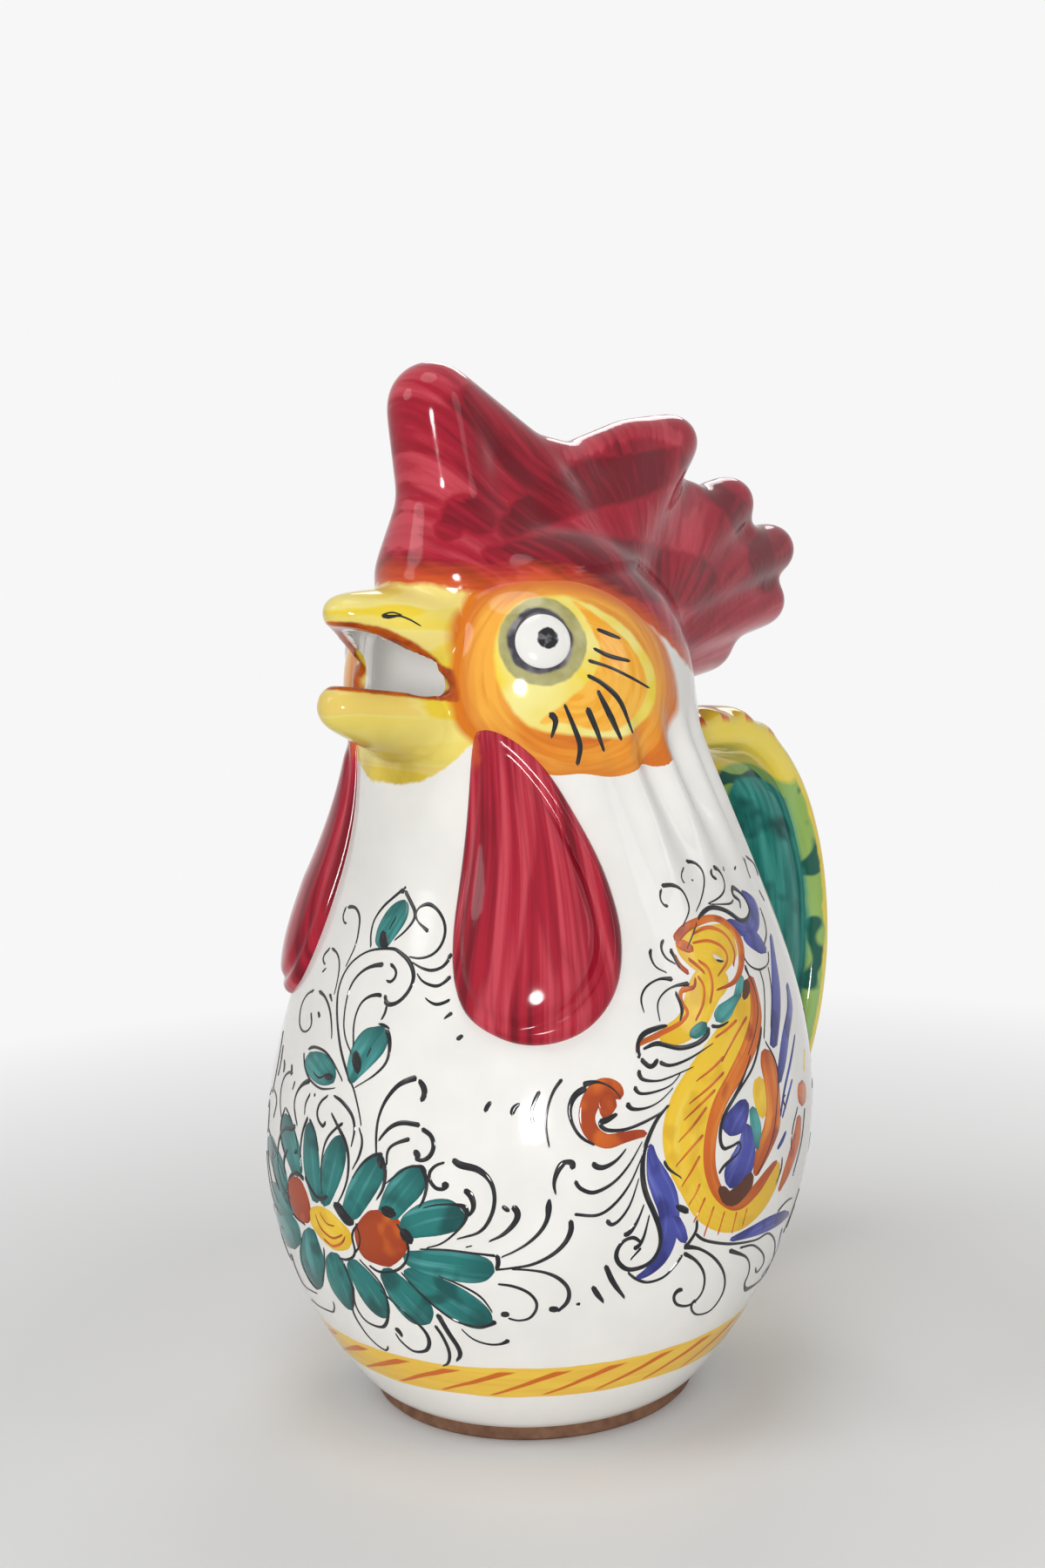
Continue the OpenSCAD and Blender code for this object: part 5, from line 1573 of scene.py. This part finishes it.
BEAST_LINES = [
    [(768, 1268, 3), (754, 1286, 5), (744, 1308, 6), (739, 1326, 6), (738, 1350, 7), (742, 1371, 7), (751, 1392, 7),
    (758, 1412, 7), (758, 1430, 6), (750, 1446, 6), (736, 1455, 6), (720, 1457, 6), (709, 1448, 6), (708, 1437, 6),
    (716, 1425, 5), (728, 1421, 5), (738, 1428, 3)], [(720, 1460, 3), (730, 1468, 4), (744, 1472, 4), (762, 1466, 4),
    (776, 1452, 4), (784, 1440, 5)], [(746, 1394, 2), (740, 1418, 4), (734, 1430, 6), (726, 1434, 7)], [(737, 1432, 4),
    (723, 1447, 2)], [(668, 1246, 8), (678, 1243, 6), (690, 1243, 4), (704, 1250, 3), (714, 1262, 2)], [(674, 1248, 8),
    (660, 1258, 8), (654, 1274, 6), (658, 1292, 4), (668, 1306, 4), (684, 1315, 3)], [(710, 1278, 4), (696, 1286, 8),
    (688, 1289, 6), (696, 1297, 5), (716, 1297, 4), (738, 1289, 4), (758, 1278, 3), (770, 1268, 2)], [(720, 1318, 2),
    (708, 1332, 4), (694, 1340, 6), (684, 1339, 7), (680, 1334, 6)], [(738, 1310, 1.5), (722, 1338, 3), (704, 1358, 4),
    (682, 1369, 5), (666, 1364, 5), (660, 1355, 5)], [(738, 1326, 1.5), (724, 1358, 3), (706, 1382, 4), (686, 1395, 4),
    (658, 1394, 4)], [(734, 1352, 1.5), (724, 1382, 3), (712, 1400, 4), (702, 1406, 5), (696, 1400, 6)],
    [(740, 1382, 2), (732, 1402, 4), (722, 1416, 7), (715, 1416, 6)], [(733, 1228, 7), (736, 1238, 5), (750, 1241, 3),
    (766, 1238, 2.5), (798, 1224, 1.5)], [(728, 1247, 7), (734, 1255, 4), (750, 1254, 3), (770, 1246, 2),
    (782, 1232, 1.5)], [(719, 1266, 8), (726, 1273, 5), (742, 1272, 3), (758, 1264, 2), (774, 1248, 1.5)],
    [(862, 1210, 4), (856, 1230, 4), (846, 1254, 5), (832, 1280, 6), (827, 1302, 6), (830, 1318, 5), (840, 1316, 4),
    (850, 1311, 4), (848, 1323, 4), (832, 1338, 5), (825, 1348, 4)], [(874, 1178, 5), (872, 1196, 5), (864, 1226, 4),
    (846, 1256, 4), (830, 1284, 4)], [(872, 1042, 3), (878, 1058, 3), (880, 1073, 3), (877, 1085, 2)], [(872, 1022, 2),
    (878, 1034, 2)], [(872, 1113, 2), (877, 1132, 2), (878, 1165, 2), (877, 1193, 2)], [(882, 1110, 2), (886, 1140, 2),
    (885, 1182, 2)], [(878, 1195, 2), (888, 1212, 3), (893, 1232, 3), (892, 1262, 3), (888, 1300, 3), (878, 1330, 3),
    (868, 1350, 3)], [(852, 1095, 2), (860, 1108, 2.5), (872, 1113, 3), (882, 1106, 2), (882, 1092, 2)],
    [(800, 1057, 4), (807, 1048, 6), (817, 1042, 6), (830, 1044, 6), (842, 1051, 7), (850, 1057, 7), (858, 1055, 6),
    (861, 1045, 5), (855, 1030, 4), (844, 1019, 7), (840, 1024, 7), (844, 1030, 6), (850, 1033, 5), (850, 1043, 3)],
    [(812, 1038, 1.5), (826, 1038, 2), (838, 1037, 3), (843, 1032, 3)], [(788, 1090, 2), (794, 1076, 3),
    (800, 1058, 3)], [(769, 1089, 7), (773, 1096, 5), (779, 1108, 4), (782, 1112, 2)], [(821, 1102, 2), (826, 1103, 5),
    (832, 1104, 2)], [(855, 1108, 8), (859, 1118, 4), (866, 1136, 3), (870, 1160, 3), (866, 1188, 3), (858, 1212, 2)],
    [(775, 1138, 4), (783, 1155, 6), (783, 1165, 5), (780, 1173, 3)], [(735, 1215, 6), (732, 1203, 6), (738, 1188, 7),
    (755, 1180, 6), (768, 1177, 3)], [(735, 1215, 6), (745, 1224, 6), (752, 1222, 6), (755, 1215, 7)], [(756, 1219, 6),
    (770, 1223, 4), (792, 1215, 3), (820, 1197, 1.5)], [(737, 1205, 3), (755, 1198, 6), (780, 1203, 6), (800, 1198, 6),
    (813, 1187, 7), (813, 1179, 6)], [(815, 1178, 5), (827, 1178, 4), (838, 1172, 3)], [(758, 1017, 6), (772, 1016, 5),
    (783, 1023, 3), (790, 1038, 3), (790, 1048, 2.5), (783, 1065, 2)], [(760, 1020, 5), (758, 1030, 3), (762, 1039, 3),
    (769, 1040, 6)], [(788, 989, 6), (800, 991, 4), (808, 1003, 3), (809, 1020, 2.5), (804, 1037, 2),
    (798, 1047, 1.5)], [(787, 995, 3), (781, 1003, 2.5), (782, 1012, 2), (787, 1013, 2)], [(795, 1010, 4),
    (797, 1011, 4)], [(815, 995, 8), (823, 998, 5), (830, 1010, 3), (830, 1023, 3), (823, 1032, 2.5),
    (812, 1038, 1.5)], [(815, 997, 6), (815, 1005, 4), (822, 1009, 5)], [(831, 995, 3), (832, 1000, 3)],
    [(844, 994, 3), (844, 999, 4)], [(857, 983, 5), (864, 990, 3), (870, 1005, 2)], [(857, 985, 4), (857, 998, 3),
    (861, 1008, 4)], [(762, 1078, 6), (759, 1088, 4), (765, 1100, 3), (777, 1107, 2)], [(747, 1089, 7), (747, 1098, 4),
    (753, 1110, 2.5), (767, 1117, 1.5)], [(774, 1124, 7), (757, 1124, 3), (742, 1133, 3), (736, 1147, 3),
    (740, 1163, 1.5)], [(793, 1129, 7), (775, 1132, 3), (762, 1140, 2.5), (755, 1153, 2.5), (758, 1173, 1.5)],
    [(784, 1431, 8), (804, 1434, 4), (822, 1446, 4), (832, 1464, 4), (830, 1484, 4), (816, 1504, 3), (800, 1509, 3),
    (793, 1502, 4), (796, 1494, 6), (800, 1495, 4)], [(784, 1438, 6), (800, 1448, 4), (809, 1464, 4), (806, 1484, 4),
    (792, 1498, 4), (778, 1498, 4), (773, 1490, 5), (778, 1482, 8), (785, 1481, 4)], [(774, 1384, 6), (784, 1388, 8.5),
    (792, 1392, 6)], [(800, 1400, 4), (800, 1412, 5), (790, 1428, 6), (784, 1432, 8)], [(762, 1332, 4), (768, 1342, 4),
    (784, 1353, 2)], [(798, 1416, 4), (810, 1424, 4), (838, 1428, 4), (866, 1424, 3), (882, 1416, 3), (890, 1426, 3),
    (886, 1448, 3), (874, 1468, 3), (858, 1480, 7), (854, 1475, 4), (860, 1460, 3), (858, 1444, 3), (836, 1435, 7)],
    [(848, 1433, 4), (866, 1430, 3), (878, 1444, 3), (870, 1460, 3), (866, 1456, 5)], [(911, 1374, 3), (902, 1380, 3),
    (892, 1392, 4)], [(898, 1328, 3), (897, 1342, 3), (890, 1360, 3)], [(916, 1270, 2), (910, 1296, 2.5),
    (908, 1320, 2)], [(924, 1272, 2.5), (920, 1310, 2.5), (910, 1350, 2)], [(903, 1256, 4), (898, 1262, 3),
    (903, 1272, 2)]]
print("beast outlines", len(BEAST_LINES))

# %% [markdown]
# ## Strokes on the cheeks and the beak
# Feathers are dashed on the cheek and a nostril on the beak. These pieces stand off the skin, so a
# stroke is put where its line of sight meets the piece itself, and its mirror image on the twin.


# %% Strokes on a piece
CHEEK_DASHES = [
    [(631, 818, 9), (638, 828, 7), (633, 848, 3)], [(648, 808, 4), (658, 832, 6), (666, 856, 7), (663, 879, 5)],
    [(674, 812, 8), (684, 835, 7), (694, 863, 4)], [(686, 792, 5), (700, 820, 8), (714, 850, 4)], [(674, 775, 5),
    (692, 785, 6), (712, 805, 7), (727, 842, 4)], [(675, 758, 5), (700, 766, 4), (725, 778, 4), (746, 790, 3)],
    [(681, 744, 4), (700, 753, 6), (724, 759, 4)], [(685, 722, 5), (700, 728, 6), (713, 733, 4)]]
NOSTRIL = [
    [(438, 707, 5), (447, 708, 5), (458, 707, 3), (470, 711, 2.5), (484, 719, 2)], [(438, 706, 2), (450, 703, 2.5),
    (462, 706, 2)]]


def on_a_piece(strokes, piece, rise):
    tree = BVHTree.FromObject(piece, bpy.context.evaluated_depsgraph_get())
    ribbons = []
    for pixels in strokes:
        line, half, way, across = swept(pixels)
        hits = [tree.ray_cast(Vector(view_place) * MM, Vector(sight)) for sight in sight_lines(line[:, :2])]
        middle, normal = np.array([hit[0] for hit in hits]) / MM, np.array([hit[1] for hit in hits])
        side = even(np.cross(normal, np.gradient(middle, axis=0)))
        flat = spread(middle, half / PIXELS_PER_MM, across, side)
        top, low = (flat + h[None, :, None] * normal[:, None, :]
                    for h in (heights(across, rise), np.full(len(across), BURIED)))
        for turn in np.array([[1, 1, 1], [-1, 1, 1]]):
            ribbons.append(ribbon(top * turn, low * turn, half, way, across, 0.0))
    return ribbons


cheek_ribbons = on_a_piece(CHEEK_DASHES, left_cheek, 0.14) + on_a_piece(NOSTRIL, upper_beak, 0.12)
print("dashes", len(cheek_ribbons))

# %% [markdown]
# ## Laying the strokes
# All strokes of a colour become one piece. Each colour lies a hair higher than the one painted
# before it, yellow lowest and black on top, so that strokes which cross don't flicker. The tint says
# which strokes took more water, and marks the brown ones among the black.

# %% One piece of each colour
CLEAR_OF_FLOWER = 500


def reaching_in(petal, further=7):
    """A petal whose first end runs some pixels further under the hearts of the flower."""
    first, second = np.array(petal[0], float), np.array(petal[1], float)
    inwards = (first - second)[:2]
    first[:2] += further * inwards / np.linalg.norm(inwards)
    return [tuple(first)] + petal[1:]


def brushed(name, ribbons):
    faces, count = [], 0
    for rings, _ in ribbons:
        rows, size = rings.shape[:2]
        faces += loft_faces(rows, size, count)
        count += rows * size
    obj = drawn(name, np.concatenate([rings.reshape(-1, 3) for rings, _ in ribbons]), [], faces)
    for key in ("edge", "end", "tint"):
        store(obj, key, np.concatenate([marks[key].ravel() for _, marks in ribbons]))
    store(obj, "brush", np.concatenate([marks["brush"].reshape(-1, 3) for _, marks in ribbons]))
    report(obj)
    return facing_out(obj)


petals = [reaching_in(petal) for petal in PETALS]
clear_scrolls = [stroke for stroke in SIDE_SCROLLS if min(stroke)[0] > CLEAR_OF_FLOWER]
# Rows of strokes, their height over the skin in millimetres, their tint, and their copies
LAYERS = {
    "yellow": [(FLOWER_MIDDLE, 0.09, 0, ONCE), (BODY_YELLOW, 0.09, 0, BOTH_FLANKS)],
    "teal": [(petals, 0.12, 0, ONCE), (BUDS, 0.12, 0.3, ONCE),
             (WING_TEAL, 0.12, 0.9, BOTH_FLANKS), (NECK_TEAL, 0.12, 0.2, BOTH_FLANKS)],
    "orange": [(HEARTS, 0.14, -1.0, ONCE), (MIDDLE_STRIPES, 0.14, -0.6, ONCE),
               (BODY_ORANGE, 0.14, 0.2, BOTH_FLANKS), (TAIL_CURL, 0.14, -0.3, BOTH_FLANKS)],
    "blue": [(WING_BLUE, 0.13, 0, BOTH_FLANKS)],
    "black": [(STEM_LINES + PETAL_LINES, 0.18, 0, ONCE), (FLOWER_BLOTS, 0.20, 0.25, ONCE),
              (SIDE_SCROLLS, 0.18, 0, SEEN_AND_BEHIND), (clear_scrolls, 0.18, 0, BESIDE_FLOWER),
              (BEAST_LINES, 0.18, 0, BOTH_FLANKS), (BROWN_SHADES, 0.17, 1.0, BOTH_FLANKS)],
    "white": [(EYE_WHITE, 0.16, 0, BOTH_FLANKS)],
}
strokes = {}
for colour, rows in LAYERS.items():
    ribbons = cheek_ribbons if colour == "black" else []
    for row in rows:
        ribbons = ribbons + on_the_skin(*row)
    strokes[colour] = brushed(colour + "_strokes", ribbons)

# %% [markdown]
# ## The strokes' finishes
# Brushed glaze is pale where it is thin, darker in pools, along its edges and at the end of a
# stroke, where the brush lifts. Noise that is drawn out along the stroke gives its bristles.


# %% Stroke finishes
def stroke_finish(name, colour, pale, dark):
    paint = Paint(name, colour)
    streak, tint = paint.streaks("brush", 0.7, 0.035, 3), paint.value("tint")
    paint.colour = paint.mixed(colour, pale, paint.ramp(paint.scaled(tint, 0.30, streak), 0.50, 0.76, 0, 0.75))
    paint.lay(dark, paint.ramp(paint.scaled(tint, -0.25, paint.noise(130, 1)), 0.52, 0.66, 0, 0.75))
    for value, low, high, most in (("edge", 0.72, 1.0, 0.45), ("end", 0.55, 1.0, 0.75), ("end", 0.22, 0.0, 0.6)):
        paint.lay(dark, paint.ramp(paint.value(value), low, high, 0, most))
    return paint.finish()


# A colour, the same with more water, and where it pools
BRUSHWORK = {
    "teal": ((0.015, 0.170, 0.158), (0.10, 0.38, 0.37), (0.004, 0.055, 0.055)),
    "orange": ((0.60, 0.125, 0.012), (0.80, 0.33, 0.04), (0.28, 0.026, 0.007)),
    "yellow": (GOLD, (0.82, 0.64, 0.12), (0.66, 0.38, 0.015)),
    "blue": ((0.060, 0.070, 0.33), (0.17, 0.20, 0.56), (0.020, 0.022, 0.14)),
    "white": (WHITE, WHITE, (0.6, 0.58, 0.56)),
}
finish_of = {colour: stroke_finish(colour + "_brushwork", *tones) for colour, tones in BRUSHWORK.items()}
ink = Paint("black_brushwork", BLACK)
ink.colour = ink.tone(BLACK, (0.05, 0.045, 0.045), ink.streaks("brush", 1.2, 0.2, 2), 0.5, 0.75)
ink.lay((0.10, 0.03, 0.012), ink.ramp(ink.value("tint"), 0.6, 0.9, 0, 0.9))
finish_of["black"] = ink.finish()

# %% [markdown]
# ## The pieces and their finishes
# Each piece rides on the one body of the pitcher, takes its finish, and stands for its CAD node, which
# is hidden. The brushwork is new, so it rides and takes its finish, and stands for nothing.

# %% Ride
dressed = [
    (body, body_finish, "white_glaze", ["body_shell"]), (foot, clay_finish, "clay", ["foot_ring"]),
    (head, head_finish, "white_glaze", ["head_shell"]), (comb, head_finish, "red_glaze", ["comb"]),
    (upper_beak, head_finish, "yellow_glaze", ["upper_beak"]),
    (lower_beak, head_finish, "yellow_glaze", ["lower_beak"]),
    (left_wattle, wattle_finish, "red_glaze", ["left_wattle"]),
    (right_wattle, wattle_finish, "red_glaze", ["right_wattle"]),
    (left_cheek, cheek_finish, "orange_glaze", ["left_cheek"]),
    (right_cheek, cheek_finish, "orange_glaze", ["right_cheek"]),
    (left_eye, eye_finish, "white_glaze", ["left_eye"]), (right_eye, eye_finish, "white_glaze", ["right_eye"]),
    (handle, handle_finish, "teal_glaze", ["handle"]),
]
dressed += [(strokes[colour], finish_of[colour], colour + "_glaze", []) for colour in LAYERS]
for obj, finish, slot, nodes in dressed:
    obj.data.materials.clear()
    obj.data.materials.append(finish)
    pick(obj)
    bpy.ops.object.shade_smooth_by_angle(angle=math.radians(35))
    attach(obj, "root")
    if nodes:
        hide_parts(*nodes)
